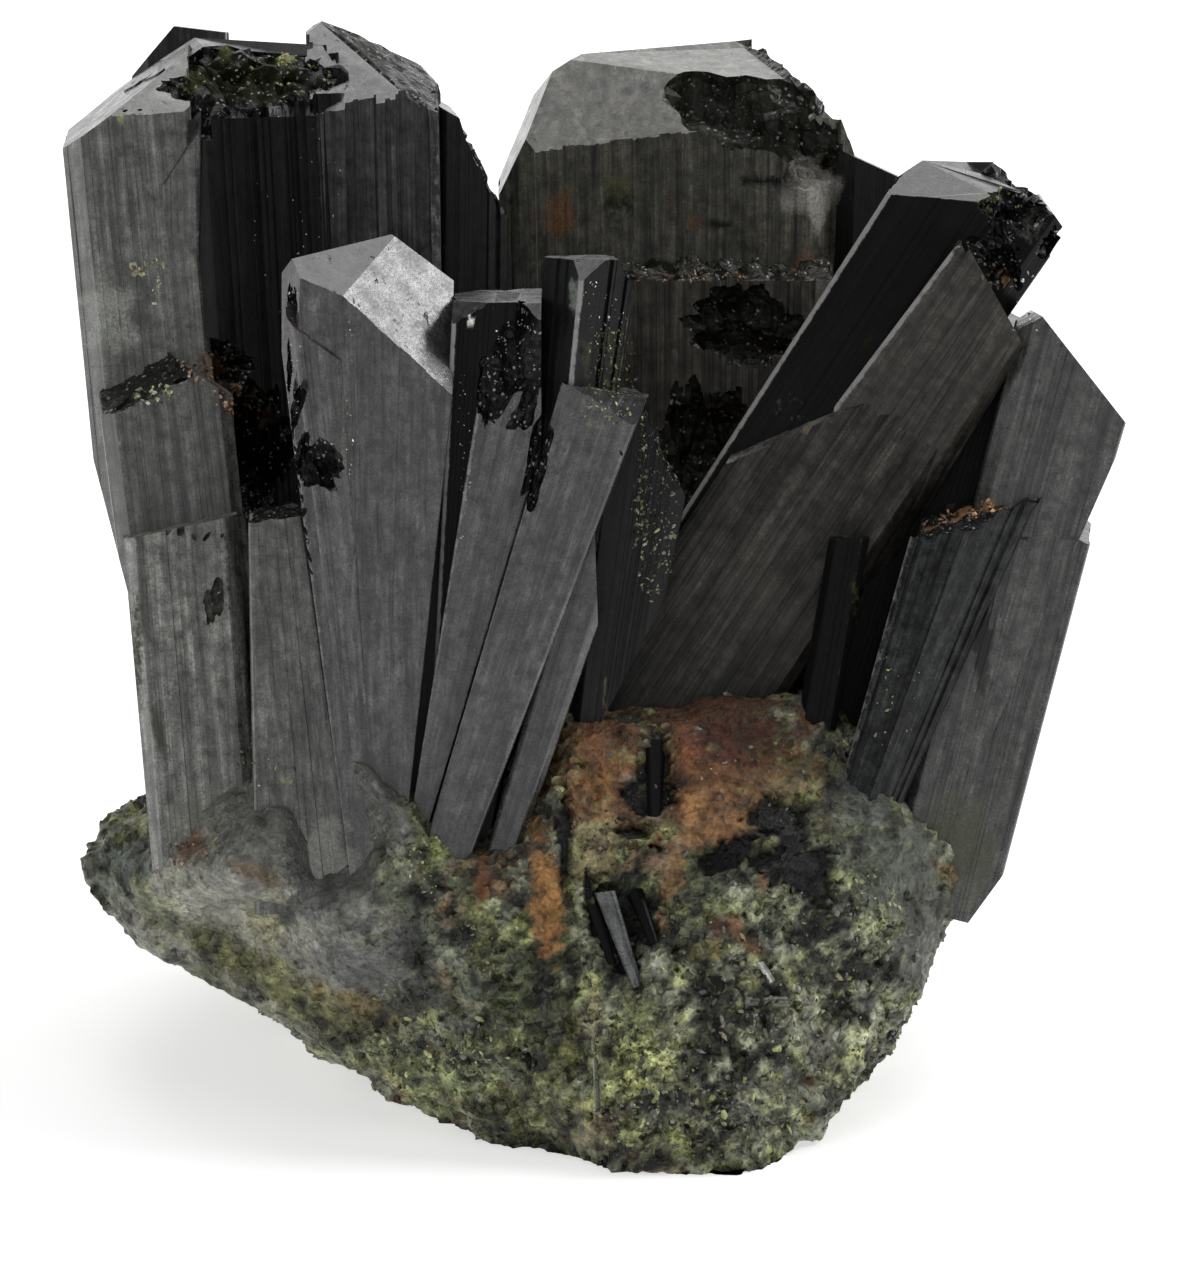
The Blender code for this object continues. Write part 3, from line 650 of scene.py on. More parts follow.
def crystal(
    root, tip, outline, taper=1.0, turn=0.0, ends=(), ridge=0.12, seed=1, grain=0.06, breaks=(),
    finish=FACE, film=(0.0, 0.0, 0.0), wear_and_glint=WEAR_AND_GLINT_EDGES,
):
    """A crystal in the fan's frame, in millimetres, that knows its own fibre.

    Each end is (azimuth, slope, place), the way an end face looks, how steep it is and a place on it, and
    then how deep it is splintered where it is broken. Film is dust that lies thinly all over it. The last
    argument says how pale each long edge is painted, from the front left one on, partly as wear and partly as
    a painted highlight; the last ones may be left out.
    """
    root, tip = Vector(root), Vector(tip)
    length = (tip - root).length
    place = axis_frame(root, tip, turn)
    bm = prism(laths(outline, ridge, grain, seed), length, taper)
    in_order(bm)
    for face in bm.faces:
        face.material_index = finish
    bm.transform(place)
    for azimuth, slope, spot, *_ in ends:
        cut_flat(bm, spot, way(azimuth, slope))
    for azimuth, slope, spot, *height in ends:
        if height:
            break_end(bm, spot, way(azimuth, slope), height[0], seed)
    in_order(bm)
    made = mesh_object(bm, "crystal", FINISHES)
    if breaks:
        break_out(made, breaks)
    back = place.inverted()
    shift = Vector((seed * 7.0, seed * 3.0, seed * 11.0))
    own = [back @ v.co for v in made.data.vertices]
    put(made, "fibre", "FLOAT_VECTOR", "vector", [c for p in own for c in p + shift])
    put(made, "film", "FLOAT_COLOR", "color", [c for _ in own for c in (*film, 1.0)])
    # How pale each point near a long edge is painted: wear, and a painted highlight along the edge.
    edges = []
    for p in own:
        wide = taper + (1 - taper) * p.z / length
        edges.append(max(
            w * max(0.0, 1 - (p.xy / wide - corner).length / WEAR_AND_GLINT_WIDTH) for corner, w in zip(outline, wear_and_glint)
        ))
    put(made, "wear_and_glint", "FLOAT", "value", edges)
    return made


def grown_together(name, crystals, patches=()):
    """One object from a group of crystals, with the patches of dust, rust, painted highlight and painted shade that
    lie on its front and top.
    """
    bm = bmesh.new()
    for each in crystals:
        bm.from_mesh(each.data)
        bpy.data.objects.remove(each, do_unlink=True)
    made = mesh_object(bm, name, FINISHES)
    patches, coats_and_painted_light, tints = [Patch(*row) for row in patches], [], []
    for vert in made.data.vertices:
        ragged = 0.35 * noise.noise(vert.co * 1.3)
        coat_and_painted_light, tint = 0.0, Vector((0.1, 0.1, 0.09))
        seen_side = vert.normal.y < 0.3 or vert.normal.z > 0.3
        for patch in patches if seen_side else ():
            share = patch.share(vert.co, ragged)
            if share > 0:
                coat_and_painted_light = max(coat_and_painted_light, share * patch.strength)
                tint = tint.lerp(patch.colour, share)
        coats_and_painted_light.append(coat_and_painted_light)
        tints.extend((*tint, 1.0))
    put(made, "coat_and_painted_light", "FLOAT", "value", coats_and_painted_light)
    put(made, "tint", "FLOAT_COLOR", "color", tints)
    made.data.transform(TO_MODEL)
    print(name, "has", sum(len(p.vertices) - 2 for p in made.data.polygons), "triangles")
    return made


# %% [markdown]
# ## The front fan
# The sharpest part of the specimen: three blades that widen upwards, the left one with the bright end face.

# %% Front fan
BRIGHT_CORNER = (-10.35, -1.0, 34.9)
FAN_PEAK = (-8.4, 2.25, 37.65)

front_fan = grown_together("front_fan", [
    crystal(
        (-9.0, 2.0, 10.5), (-9.25, 1.6, 36.4), slab(7.9, 5.2, (0.12, 0.1, 1.6, 1.6)), taper=0.22,
        ends=(
            (35.5, 60.5, BRIGHT_CORNER), (22.4, 49.2, BRIGHT_CORNER), (235, 33, FAN_PEAK), (115, 37, FAN_PEAK),
            (270, 90, (-12.75, 0, 30)), (300, 90, (-11.9, -1.0, 33)), (90, 90, (-5.9, 0, 30)),
        ),
        seed=3, grain=0.02, ridge=0.05, film=(0.004, 0.003, 0.005), wear_and_glint=(0.6, 0.6, 0.3, 0.3),
        breaks=[
            hollow((-11.1, -0.4, 28.1), (0.85, 0.5, 1.2), -30, 4),
            hollow((-11.3, -0.8, 32.3), (1.0, 0.4, 0.5), 35, 12),
            hollow((-12.35, -0.35, 34.6), (0.3, 0.5, 1.1), 0, 18), hollow((-12.4, -0.3, 32.6), (0.32, 0.5, 1.3), 4, 15),
            hollow((-12.15, -0.6, 30.6), (0.3, 0.45, 1.2), 8, 16), hollow((-11.9, -0.3, 28.6), (0.25, 0.4, 1.0), 8, 17),
            hollow((-6.35, 1.5, 36.45), (0.6, 0.9, 0.3), 40, 14),
            nicks((-12.75, -0.85, 35.4), (-12.65, -0.6, 32.6), 7, 0.24, 5),
            nicks((-12.7, -0.6, 32.6), (-11.55, 0.2, 23.8), 16, 0.22, 6),
        ],
    ),
    crystal(
        (-9.5, 1.9, 14.0), (-11.35, 0.45, 32.8), slab(2.0, 2.5, (0.3, 0.1, 0.4, 0.4)), taper=0.6,
        ends=((40, 50, (-11.3, -0.9, 33.0)),), ridge=0, seed=4, grain=0.08, film=(0.012, 0.011, 0.012),
        breaks=[
            nicks((-12.3, -0.8, 32.4), (-10.9, 0.5, 20.0), 16, 0.22, 8),
            hollow((-11.1, -0.4, 28.1), (0.85, 0.5, 1.2), -30, 4),
            hollow((-12.15, -0.6, 30.6), (0.3, 0.45, 1.2), 8, 16), hollow((-11.9, -0.3, 28.6), (0.25, 0.4, 1.0), 8, 17),
        ],
    ),
    crystal(
        (-6.1, 4.2, 14.0), (-4.6, 1.7, 34.6), slab(2.6, 3.8, (0.1, 0.1, 0.9, 0.9)), taper=0.7,
        ends=((355, 10, (-4.1, -0.6, 34.7)), (338, 62, (-5.1, -0.35, 34.0))), seed=6, grain=0.08, ridge=0.1,
        finish=DEEP_SHADED, wear_and_glint=(1.0, 1.0, 0.4, 0.4),
        breaks=[
            hollow((-3.9, -0.6, 32.0), (1.3, 1.3, 2.0), 8, 23, 0.35),
            nicks((-5.5, 0.0, 32.0), (-5.6, 0.7, 27.0), 12, 0.24, 24),
        ],
    ),
    crystal(
        (-8.05, 2.1, 10.5), (-2.45, 1.6, 34.6), slab(3.6, 4.4, (0.1, 0.1, 0.9, 0.9)), taper=0.08,
        ends=((355, 10, (-4.1, -0.6, 34.7)), (90, 90, (-2.35, 0, 33))), seed=5, grain=0.02, ridge=0.04,
        film=(0.004, 0.003, 0.005), wear_and_glint=(0.8, 0.8, 0.4, 0.4),
        breaks=[
            hollow((-3.7, -0.9, 32.5), (1.6, 1.5, 2.3), 8, 2, 0.35),
            hollow((-3.0, -0.8, 30.4), (0.7, 0.9, 1.5), 16, 22, 0.5),
            hollow((-4.7, -0.5, 30.6), (0.5, 0.7, 1.1), -14, 3),
            nicks((-4.9, -0.4, 30.0), (-6.3, 0.6, 22.5), 9, 0.2, 25),
            hollow((-2.55, -0.3, 28.4), (0.45, 0.8, 1.9), 16, 26, 0.5),
        ],
    ),
    crystal(
        (-6.9, 2.0, 10.5), (0.1, 1.4, 31.1), slab(3.4, 4.6, (0.1, 0.12, 1.1, 1.0)), taper=0.5,
        ends=((12, 74, (-0.6, -0.9, 31.0)), (60, 12, (0.0, 0.0, 31.4), 0.2)), seed=7, grain=0.02,
        ridge=0.05, film=(0.005, 0.004, 0.005), wear_and_glint=(0.3, 0.5, 0.4, 0.4),
        breaks=[
            nicks((1.2, -0.8, 29.2), (-3.0, 0.1, 17.5), 9, 0.2, 9),
            hollow((-2.55, -0.3, 28.4), (0.45, 0.8, 1.9), 16, 26, 0.5),
        ],
    ),
    crystal(
        (-1.6, 1.35, 25.0), (-0.35, 1.3, 36.6), slab(3.3, 3.3, (0.12, 0.6, 0.5, 0.7)), taper=0.75, turn=36,
        ends=((10, 6, (-0.4, 0, 36.5)), (92, 62, (0.9, 0, 36.2)), (8, 62, (-0.2, -0.8, 35.6))),
        ridge=0.22, seed=9, grain=0.2, finish=SHADED, wear_and_glint=(1, 1, 0.8, 0.8, 0, 0, 0, 0.6),
        breaks=[nicks((1.35, 0.7, 35.2), (1.45, 0.8, 31.0), 6, 0.3, 10)],
    ),
    crystal(
        (-4.6, 2.1, 10.6), (-0.3, 1.7, 24.1), slab(1.9, 2.6, (0.2, 0.3, 0.7, 0.7)), taper=0.6,
        ends=((90, 88, (-0.1, 0.4, 22.5)), (90, 118, (-0.5, 0.6, 17.7))), ridge=0, seed=11, grain=0.03,
        film=(0.003, 0.002, 0.003),
    ),
    crystal(
        (-0.2, 3.9, 15.2), (2.1, 2.9, 30.6), slab(4.1, 2.6, (0.5, 0.6, 0.7, 0.6)), taper=0.6,
        ends=(
            (88, 66, (1.75, 2.8, 30.9), 0.3), (10, 12, (1.6, 2.8, 31.0), 0.3), (90, 117, (3.4, 3.0, 24.5)),
        ),
        seed=13, grain=0.22, ridge=0.25, finish=SHADED,
    ),
    crystal(
        (-11.75, 5.3, 11.0), (-13.0, 2.6, 26.2), slab(2.3, 3.8, (0.12, 0.2, 0.8, 0.8)), taper=1.9,
        ends=((330, 12, (-13.0, 0.7, 26.2), 0.2),), seed=15, grain=0.06, film=(0.024, 0.024, 0.022),
    ),
    crystal(
        (-6.6, 4.0, 11.0), (-4.0, 3.6, 30.5), slab(7.2, 3.6, (0.6, 0.6, 0.9, 0.9)), taper=0.55,
        ends=((20, 30, (-4.0, 1.8, 31.5)),), ridge=0, seed=17, grain=0.05, finish=SHADED,
    ),
], patches=(
    (-12.1, 33.9, 0.2, 0.56, RED_CLAY, 0.55), (-11, 26.6, 0.88, 0.12, RED_CLAY, 0.45, -8),
    (-11, 36.4, 1.2, 0.96, seen(98, 98, 94), 0.55), (-10.2, 29.7, 0.2, 4.4, DUST, 0.38),
    # The pale patch at (-12.4, 22.5) is a painted highlight along a bright edge at the left of the fan.
    (-9.9, 22.9, 0.16, 3.6, DUST, 0.4, -3), (-12.4, 22.5, 0.28, 0.4, PAINTED_HIGHLIGHT, 0.5),
    (-14.2, 17, 0.36, 0.72, KHAKI, 0.45), (-12.6, 16, 0.52, 0.64, YELLOW_GREEN, 0.42),
    (-11.8, 16.3, 0.44, 0.52, KHAKI, 0.4), (-1, 35, 0.36, 1.2, seen(92, 98, 92), 0.55, 6),
    (-0.6, 32.6, 0.36, 1.2, COAL, 0.6, 8), (0.5, 32.5, 1.04, 2.4, OLIVE, 0.34),
    (-0.1, 31.2, 1.04, 0.56, YELLOW_GREEN, 0.4), (0, 29.9, 1.2, 0.48, GREY_GREEN, 0.4),
    (2.2, 26.1, 0.64, 4.8, seen(76, 77, 58), 0.22), (1.9, 24.5, 0.32, 1.6, KHAKI, 0.3, 8),
    (1.4, 29.7, 0.36, 1.36, YELLOW_GREEN, 0.25, -8), (0.2, 18.9, 0.24, 1.6, KHAKI, 0.4),
    # The pale and grey patches at the top of the middle blade, (-5.2, 34.2) and (-4.1, 34.4), are painted highlights of
    # small facets.
    (-5.2, 34.2, 0.28, 0.48, PAINTED_HIGHLIGHT, 0.55, 20), (-4.1, 34.4, 0.56, 0.36, STONE, 0.6),
    (-11.2, 11.7, 2.4, 3.6, seen(110, 110, 105), 0.48), (-8, 14.5, 1.04, 2.4, DUST, 0.34),
    (-6.4, 14.9, 0.8, 2.4, RED_CLAY, 0.3), (-2.4, 14.1, 1.2, 1.6, TAN, 0.34),
))

# %% [markdown]
# ## The left bundle
# The tall crystal at the back is three prisms grown side by side, with a roof face on the left and on the right
# and a splintered slope between them. Two shorter ones step down in front of it.

# %% Left bundle
LEFT_DUST = (0.078, 0.079, 0.070)
left_bundle = grown_together("left_bundle", [
    crystal(
        (-16.6, 12.0, 12.0), (-19.3, 11.7, 41.3), slab(5.4, 9.4, (0.9, 0.3, 1.8, 2.2)), taper=0.93,
        ends=(
            (285, 37, (-22.0, 8.0, 41.4)), (355, 40, (-17.5, 7.0, 42.8)), (90, 8, (-16.2, 11.5, 46.4)),
            (270, 105, (-20.5, 9.0, 27.8)),
        ),
        seed=21, grain=0.05, ridge=0.08, film=(0.036, 0.037, 0.031),
        breaks=[
            hollow((-17.2, 8.0, 43.9), (1.1, 1.0, 0.6), 20, 31),
            nicks((-20.3, 7.3, 42.6), (-17.4, 7.2, 43.3), 5, 0.3, 32),
        ],
    ),
    crystal(
        (-16.9, 9.6, 14.0), (-17.1, 7.45, 40.8), slab(1.6, 1.2, (0.15, 0.15, 0.2, 0.2)),
        ends=((300, 62, (-17.3, 6.9, 40.6)),), ridge=0, seed=22, grain=0.06, film=(0.016, 0.016, 0.015),
    ),
    crystal(
        (-13.2, 11.8, 12.0), (-15.1, 12.0, 43.0), slab(7.6, 8.0, (0.6, 0.8, 1.4, 1.4)), taper=0.88, turn=26,
        ends=(
            (10, 42, (-13.8, 8.2, 43.1), 0.9), (90, 4, (-14.0, 12.5, 46.1), 0.6), (285, 37, (-16.2, 11.5, 46.4)),
            (190, 30, (-14.0, 14.0, 46.2)),
        ),
        ridge=0.3, seed=23, grain=0.2, finish=SHADED, wear_and_glint=(0.3, 0.4, 0.2, 0.2),
        breaks=[
            hollow((-13.3, 9.8, 46.4), (1.5, 2.4, 1.0), 0, 5),
            hollow((-15.4, 7.2, 32.6), (1.5, 1.4, 0.9), 10, 6),
            hollow((-14.0, 7.8, 29.0), (1.7, 2.4, 2.7), 0, 9),
            hollow((-11.6, 8.2, 41.5), (0.9, 0.9, 2.2), 10, 33),
        ],
    ),
    crystal(
        (-8.7, 13.3, 12.0), (-9.4, 13.4, 43.5), slab(5.5, 8.0, (0.5, 0.4, 1.6, 1.2)), taper=0.92,
        ends=(
            (66, 34, (-6.95, 9.6, 43.2), 0.22), (350, 46, (-8.6, 9.4, 43.4), 0.45), (284, 40, (-11.6, 13.0, 46.9), 0.4),
            (180, 30, (-10.0, 14.5, 46.8)),
        ),
        ridge=0.3, seed=25, grain=0.16, finish=SHADED, film=(0.036, 0.037, 0.037), wear_and_glint=(0.4, 0.3, 0.7, 0.7),
    ),
    crystal(
        (-5.7, 15.4, 14.0), (-5.4, 15.2, 42.0), slab(3.2, 5.5, (0.6, 0.8, 1.0, 0.6)),
        ends=((90, 64, (-5.0, 12.5, 41.3), 0.5), (80, 30, (-5.9, 13.0, 43.0), 0.5)), seed=27, grain=0.15,
        finish=SHADED, film=(0.004, 0.005, 0.004),
    ),
    crystal(
        (-16.7, 17.5, 14.0), (-17.7, 18.5, 47.2), slab(4.0, 5.0, (0.8, 0.8, 1.0, 1.0)),
        ends=((275, 50, (-19.4, 17.0, 45.2)), (60, 8, (-17.0, 18.0, 47.0))), seed=29, finish=SHADED,
        film=(0.016, 0.017, 0.016),
    ),
    crystal(
        (-15.4, 8.0, 11.2), (-17.8, 7.6, 32.0), slab(5.4, 6.0, (0.7, 0.5, 0.8, 0.8)), taper=0.92,
        ends=(
            (318, 38, (-18.8, 5.2, 31.3), 0.25), (84, 34, (-16.9, 7.0, 32.6), 0.8), (270, 105, (-20.4, 7.0, 27.8)),
        ),
        seed=31, grain=0.06, film=(0.016, 0.016, 0.014), wear_and_glint=(0.6, 0.6, 0.3, 0.2),
        breaks=[
            hollow((-14.0, 7.8, 29.0), (1.7, 2.4, 2.7), 0, 9),
            nicks((-19.6, 5.2, 30.6), (-17.6, 4.9, 32.2), 6, 0.4, 34),
            nicks((-17.3, 4.9, 32.0), (-15.7, 5.0, 30.6), 5, 0.5, 35),
        ],
    ),
    crystal(
        (-15.9, 6.6, 11.8), (-17.0, 6.2, 25.7), slab(4.7, 6.0, (0.6, 0.5, 0.8, 0.8)), taper=0.95,
        ends=((300, 14, (-17.0, 3.2, 25.8)),), seed=33, grain=0.06, film=LEFT_DUST,
        breaks=[
            hollow((-15.6, 3.1, 22.8), (0.5, 0.4, 1.0), 0, 7),
            nicks((-19.0, 3.4, 25.9), (-14.9, 3.1, 25.4), 7, 0.3, 36),
        ],
    ),
], patches=(
    (-21.4, 38.9, 0.4, 2.8, OLIVE, 0.3), (-20, 34.4, 2, 2.4, seen(124, 126, 120), 0.44),
    (-18.4, 36.6, 0.96, 0.36, CREAM_GRAINS[0], 0.42), (-18.1, 35.7, 0.28, 0.64, CREAM_GRAINS[0], 0.4),
    # The pale patch at (-17.8, 43.5) is a painted reflection on the glassy left roof face.
    (-19.6, 42.7, 0.32, 0.2, YELLOW_GREEN, 0.6), (-17.8, 43.5, 1.04, 0.88, seen(150, 152, 146), 0.42, -35),
    (-15.8, 44.5, 1.2, 1.04, COAL, 0.7), (-16.8, 44.2, 0.56, 1.2, OLIVE, 0.4),
    # The grey patch at (-9.8, 45.2) is painted shade that dulls the right roof face.
    (-14.2, 44.3, 3.2, 1.36, seen(36, 38, 28), 0.6), (-9.8, 45.2, 1.76, 1.2, seen(60, 60, 56), 0.55, -35),
    (-13, 45.4, 0.56, 0.48, YELLOW_GREEN, 0.5), (-15.4, 45.6, 0.56, 0.4, OLIVE, 0.5),
    # The thin pale patch at (-19.3, 31.5) is a painted highlight along a ledge.
    (-19.3, 31.5, 1.84, 0.16, PAINTED_HIGHLIGHT, 0.5, 40), (-18.1, 31.3, 0.96, 0.48, YELLOW_GREEN, 0.45),
    (-16, 32.5, 1.04, 0.8, RUST, 0.45), (-14.8, 31.4, 1.36, 0.48, RUST, 0.4, -20),
    (-13.8, 30.3, 0.72, 1.04, seen(60, 46, 38), 0.4), (-16, 22.4, 0.36, 0.4, KHAKI, 0.45),
    (-16, 23.3, 0.56, 1.2, seen(60, 58, 54), 0.4), (-17.8, 17.4, 0.4, 2, seen(54, 54, 48), 0.55, 14),
    (-16.8, 12.8, 0.88, 0.72, RUST, 0.6), (-18.7, 20.9, 0.48, 4.4, DEEP_GREEN, 0.45),
    (-18.2, 26.1, 2, 0.24, COAL, 0.45, -8), (-16.2, 14, 2, 2.4, GREY_GREEN, 0.42),
    (-14.2, 12.4, 1.6, 0.8, RUST, 0.36), (-5.4, 41.2, 1, 2.4, DEEP_GREEN, 0.3),
))

# %% [markdown]
# ## The right pair, the wide blade and the stub
# Two long crystals lean over to the right, side by side. A wide blade crosses in front of them, and a short
# stub with a rust-brown rim stands before that.

# %% Right crystals
right_crystals = grown_together("right_prisms", [
    crystal(
        (0.2, 9.2, 16.0), (15.7, 8.7, 39.2), slab(7.0, 6.6, (0.1, 0.8, 1.4, 1.2)), taper=0.85, turn=-0.6,
        ends=(
            (8, 27, (13.6, 5.4, 39.2)), (270, 35, (12.0, 8.7, 40.1)), (80, 34, (16.6, 8.0, 40.4), 0.7),
            (85, 55, (18.5, 8.0, 38.8), 0.8), (0, 2, (14.3, 8.7, 40.95)), (90, 112, (18.9, 8.0, 37.8), 0.5),
        ),
        ridge=0.1, seed=41, grain=0.05, finish=DEEP_SHADED,
        wear_and_glint=(1.0, 1.0, 0.3, 0.3),
        breaks=[
            hollow((17.0, 5.9, 38.9), (1.5, 1.3, 1.3), 20, 41),
            hollow((16.2, 5.5, 36.9), (1.1, 1.0, 1.5), -20, 42),
            hollow((18.4, 6.6, 37.6), (0.8, 1.2, 1.0), 0, 43),
        ],
    ),
    crystal(
        (1.2, 7.88, 16.0), (10.7, 7.46, 30.3), slab(7.3, 4.0, (0.1, 0.5, 1.0, 0.8)),
        ends=((331, 43, (6.0, 5.7, 28.9)),), ridge=0.12, seed=42, grain=0.1, finish=SHADED,
        film=(0.030, 0.027, 0.023), wear_and_glint=(0.4, 0.4, 0.3, 0.3),
    ),
    crystal(
        (2.9, 12.85, 16.0), (15.6, 5.52, 35.0), slab(4.7, 3.4, (0.1, 0.5, 1.0, 0.8)), taper=1.55, turn=-0.9,
        ends=((40, 36, (15.0, 3.6, 37.2), 0.35), (92, 60, (16.0, 3.6, 35.2), 0.5)), ridge=0.1, seed=43, grain=0.07,
        finish=SHADED, film=(0.025, 0.023, 0.018), wear_and_glint=(1.0, 1.0, 0.3, 0.3),
        breaks=[nicks((16.4, 3.5, 36.0), (17.2, 3.8, 33.0), 6, 0.6, 44)],
    ),
    crystal(
        (13.3, 7.0, 10.4), (19.1, 7.4, 31.8), slab(5.2, 6.4, (0.6, 0.12, 1.2, 1.0)), taper=0.81,
        ends=(
            (88, 52, (21.2, 4.6, 30.2)), (280, 30, (17.9, 5.5, 34.5)), (90, 114, (21.25, 5.0, 29.5)),
            (90, 126, (16.8, 6.5, 12.4)),
        ),
        seed=45, grain=0.03, ridge=0.06, film=(0.004, 0.004, 0.004), wear_and_glint=(0.2, 0.3, 0.3, 0.2),
    ),
    crystal(
        (14.2, 6.7, 10.0), (17.9, 6.6, 25.0), slab(3.7, 4.7, (0.4, 0.12, 1.0, 1.0)), taper=0.88,
        ends=((60, 30, (19.3, 5.0, 25.6)), (0, 70, (18.0, 4.2, 25.2)), (90, 126, (16.8, 6.5, 12.4))),
        seed=47, grain=0.04, ridge=0.06, film=(0.003, 0.003, 0.003), wear_and_glint=(0.1, 0.2, 0.2, 0.2),
    ),
    crystal(
        (10.5, 3.9, 13.6), (15.0, 4.0, 26.0), slab(4.1, 4.0, (0.2, 2.0, 0.6, 0.6)), taper=0.55, turn=-8,
        ends=((318, 20, (13.4, 2.2, 25.6), 0.35),), ridge=0.28, seed=49, grain=0.2, finish=DEEP_SHADED,
        film=(0.019, 0.020, 0.020), wear_and_glint=(0.8, 0.6, 0.6, 0.4),
    ),
    crystal(
        (8.2, 4.6, 14.6), (10.1, 4.2, 25.5), slab(1.6, 2.0, (0.3, 0.3, 0.4, 0.3)),
        ends=((0, 4, (10.1, 4.2, 25.5), 0.15),), ridge=0, seed=51, grain=0.08, finish=DEEP_SHADED,
        wear_and_glint=(0, 0, 0.5, 0.4),
    ),
    crystal(
        (9.8, 10.2, 13.0), (16.2, 10.2, 33.6), slab(5.6, 6.0, (0.6, 0.6, 0.9, 0.9)),
        ends=((60, 30, (17.0, 8.0, 33.4)),), ridge=0, seed=53, grain=0.08, finish=DEEP_SHADED,
    ),
], patches=(
    (10.9, 36.4, 0.24, 0.4, YELLOW_GREEN, 0.4), (16.5, 35.9, 0.24, 0.4, TAN, 0.6),
    (15.6, 39.3, 1.04, 0.56, OLIVE, 0.4), (17.5, 38, 0.96, 1.44, STONE, 0.36), (8.4, 29.9, 0.28, 0.32, ORANGE, 0.6),
    (11, 33.6, 0.24, 0.48, seen(120, 98, 92), 0.5, -40), (14.4, 35, 0.64, 0.88, RED_CLAY, 0.25),
    (9.8, 33.9, 2.4, 2.8, seen(40, 39, 32), 0.3, -55), (5.1, 28.2, 0.8, 1.84, GREY_GREEN, 0.25, -45),
    (7.7, 30.6, 1.6, 1.2, GREY_GREEN, 0.3, 10), (6.5, 23.3, 4.4, 3.2, seen(72, 70, 64), 0.34, -50),
    (10.1, 26.9, 3.6, 2, seen(66, 66, 56), 0.3, -50), (16.2, 32.6, 1.2, 2, OLIVE, 0.3),
    (14.9, 26.4, 2, 0.36, ORANGE, 0.6, 16), (13.3, 25.7, 0.4, 0.32, RUST, 0.5),
    # The near-black patches at (14.7, 22.6) and (15.5, 21.3) are painted shade down the dark right side of the stub.
    (14.7, 22.6, 0.8, 3.36, seen(24, 24, 23), 0.34, 8), (10.3, 22.9, 0.56, 2, OLIVE, 0.34),
    (16.2, 16.4, 2.4, 3.6, seen(72, 74, 60), 0.3), (14.2, 12.8, 2.8, 3.2, seen(66, 68, 58), 0.5),
    (15.5, 21.3, 0.64, 3.6, COAL, 0.6), (13.4, 9.1, 2.4, 2, GREY_GREEN, 0.4),
))

# %% [markdown]
# ## The thick crystal at the back
# It stands behind the fan, with a smooth sloping top on the left and a broken one on the right.

# %% Back crystals
back_prisms = grown_together("back_prisms", [
    crystal(
        (3.2, 20.0, 14.0), (3.2, 21.5, 46.3), slab(15.4, 8.0, (1.6, 2.0, 2.0, 2.0)), taper=0.87,
        ends=(
            (276, 66, (-3.6, 20.0, 41.8)), (268, 34, (-2.2, 20.0, 45.2)), (88, 46, (8.4, 19.0, 45.1), 0.8),
            (355, 54, (0.0, 17.6, 42.4)), (6, 22, (2.3, 17.5, 44.6)), (275, 7, (2.1, 22.0, 46.5)),
            (90, 70, (10.7, 19.0, 41.9)),
        ),
        ridge=0.12, seed=61, grain=0.08, finish=SHADED, film=(0.062, 0.060, 0.045),
        breaks=[
            hollow((6.3, 17.3, 44.5), (3.9, 2.9, 2.7), 25, 8),
            hollow((9.4, 17.6, 41.6), (1.8, 1.8, 1.7), 0, 11),
        ],
    ),
    crystal(
        (3.7, 15.4, 14.0), (3.7, 16.5, 36.5), slab(12.1, 4.0, (0.8, 0.8, 0.6, 0.6)), taper=0.93,
        ends=((0, 20, (3.7, 14.6, 36.5), 0.6),), ridge=0.3, seed=63, grain=0.2, finish=SHADED, film=(0.040, 0.036, 0.027),
        breaks=[hollow((6.0, 14.6, 34.2), (2.6, 1.2, 1.6), 10, 62), hollow((4.4, 14.4, 29.0), (1.9, 1.0, 3.2), 0, 63)],
    ),
    crystal(
        (10.6, 19.5, 15.0), (11.6, 20.5, 41.6), slab(3.2, 5.0, (0.8, 0.8, 0.8, 0.8)),
        ends=((80, 25, (11.6, 18.0, 41.2)),), ridge=0, seed=65, grain=0.08, finish=SHADED,
    ),
], patches=(
    (-1.8, 39, 1.04, 1.44, seen(96, 74, 58), 0.62), (3.6, 39.1, 1.84, 0.4, seen(96, 74, 56), 0.5, -34),
    (0.8, 39.7, 1.2, 1.6, seen(40, 40, 34), 0.45), (5, 38.7, 1.04, 0.8, seen(38, 38, 34), 0.5),
    (8.6, 36.8, 1.04, 1.52, seen(92, 72, 56), 0.5), (3.2, 33.6, 1.2, 1.44, seen(84, 62, 46), 0.5),
    (4.8, 30.8, 1.36, 1.04, seen(82, 54, 40), 0.46), (-0.4, 40.8, 2.8, 0.8, OLIVE, 0.35),
    (3.7, 36.5, 3.04, 0.24, seen(88, 78, 62), 0.55, 3), (8.9, 40.2, 1.76, 2.16, seen(124, 122, 116), 0.6),
    (1.7, 45.5, 1.76, 0.48, seen(84, 72, 62), 0.35), (-0.3, 43.1, 0.8, 0.96, OLIVE, 0.4),
    (6, 33.6, 1.6, 2, seen(40, 34, 30), 0.5), (4.2, 40.6, 2.4, 1.2, seen(66, 66, 62), 0.4, 30),
    (6.7, 40.6, 1.6, 0.8, COAL, 0.5), (2.1, 35.4, 1.2, 0.56, seen(34, 34, 30), 0.5),
    (1.7, 29.6, 0.8, 1.6, OLIVE, 0.3), (0, 43.6, 3.2, 1.6, DUST, 0.25), (-2.9, 41.1, 0.8, 2, GREY_GREEN, 0.4),
    (1.7, 44.4, 1.6, 1.04, COAL, 0.4), (-1.3, 35.9, 1.2, 2.4, DEEP_GREEN, 0.5),
))

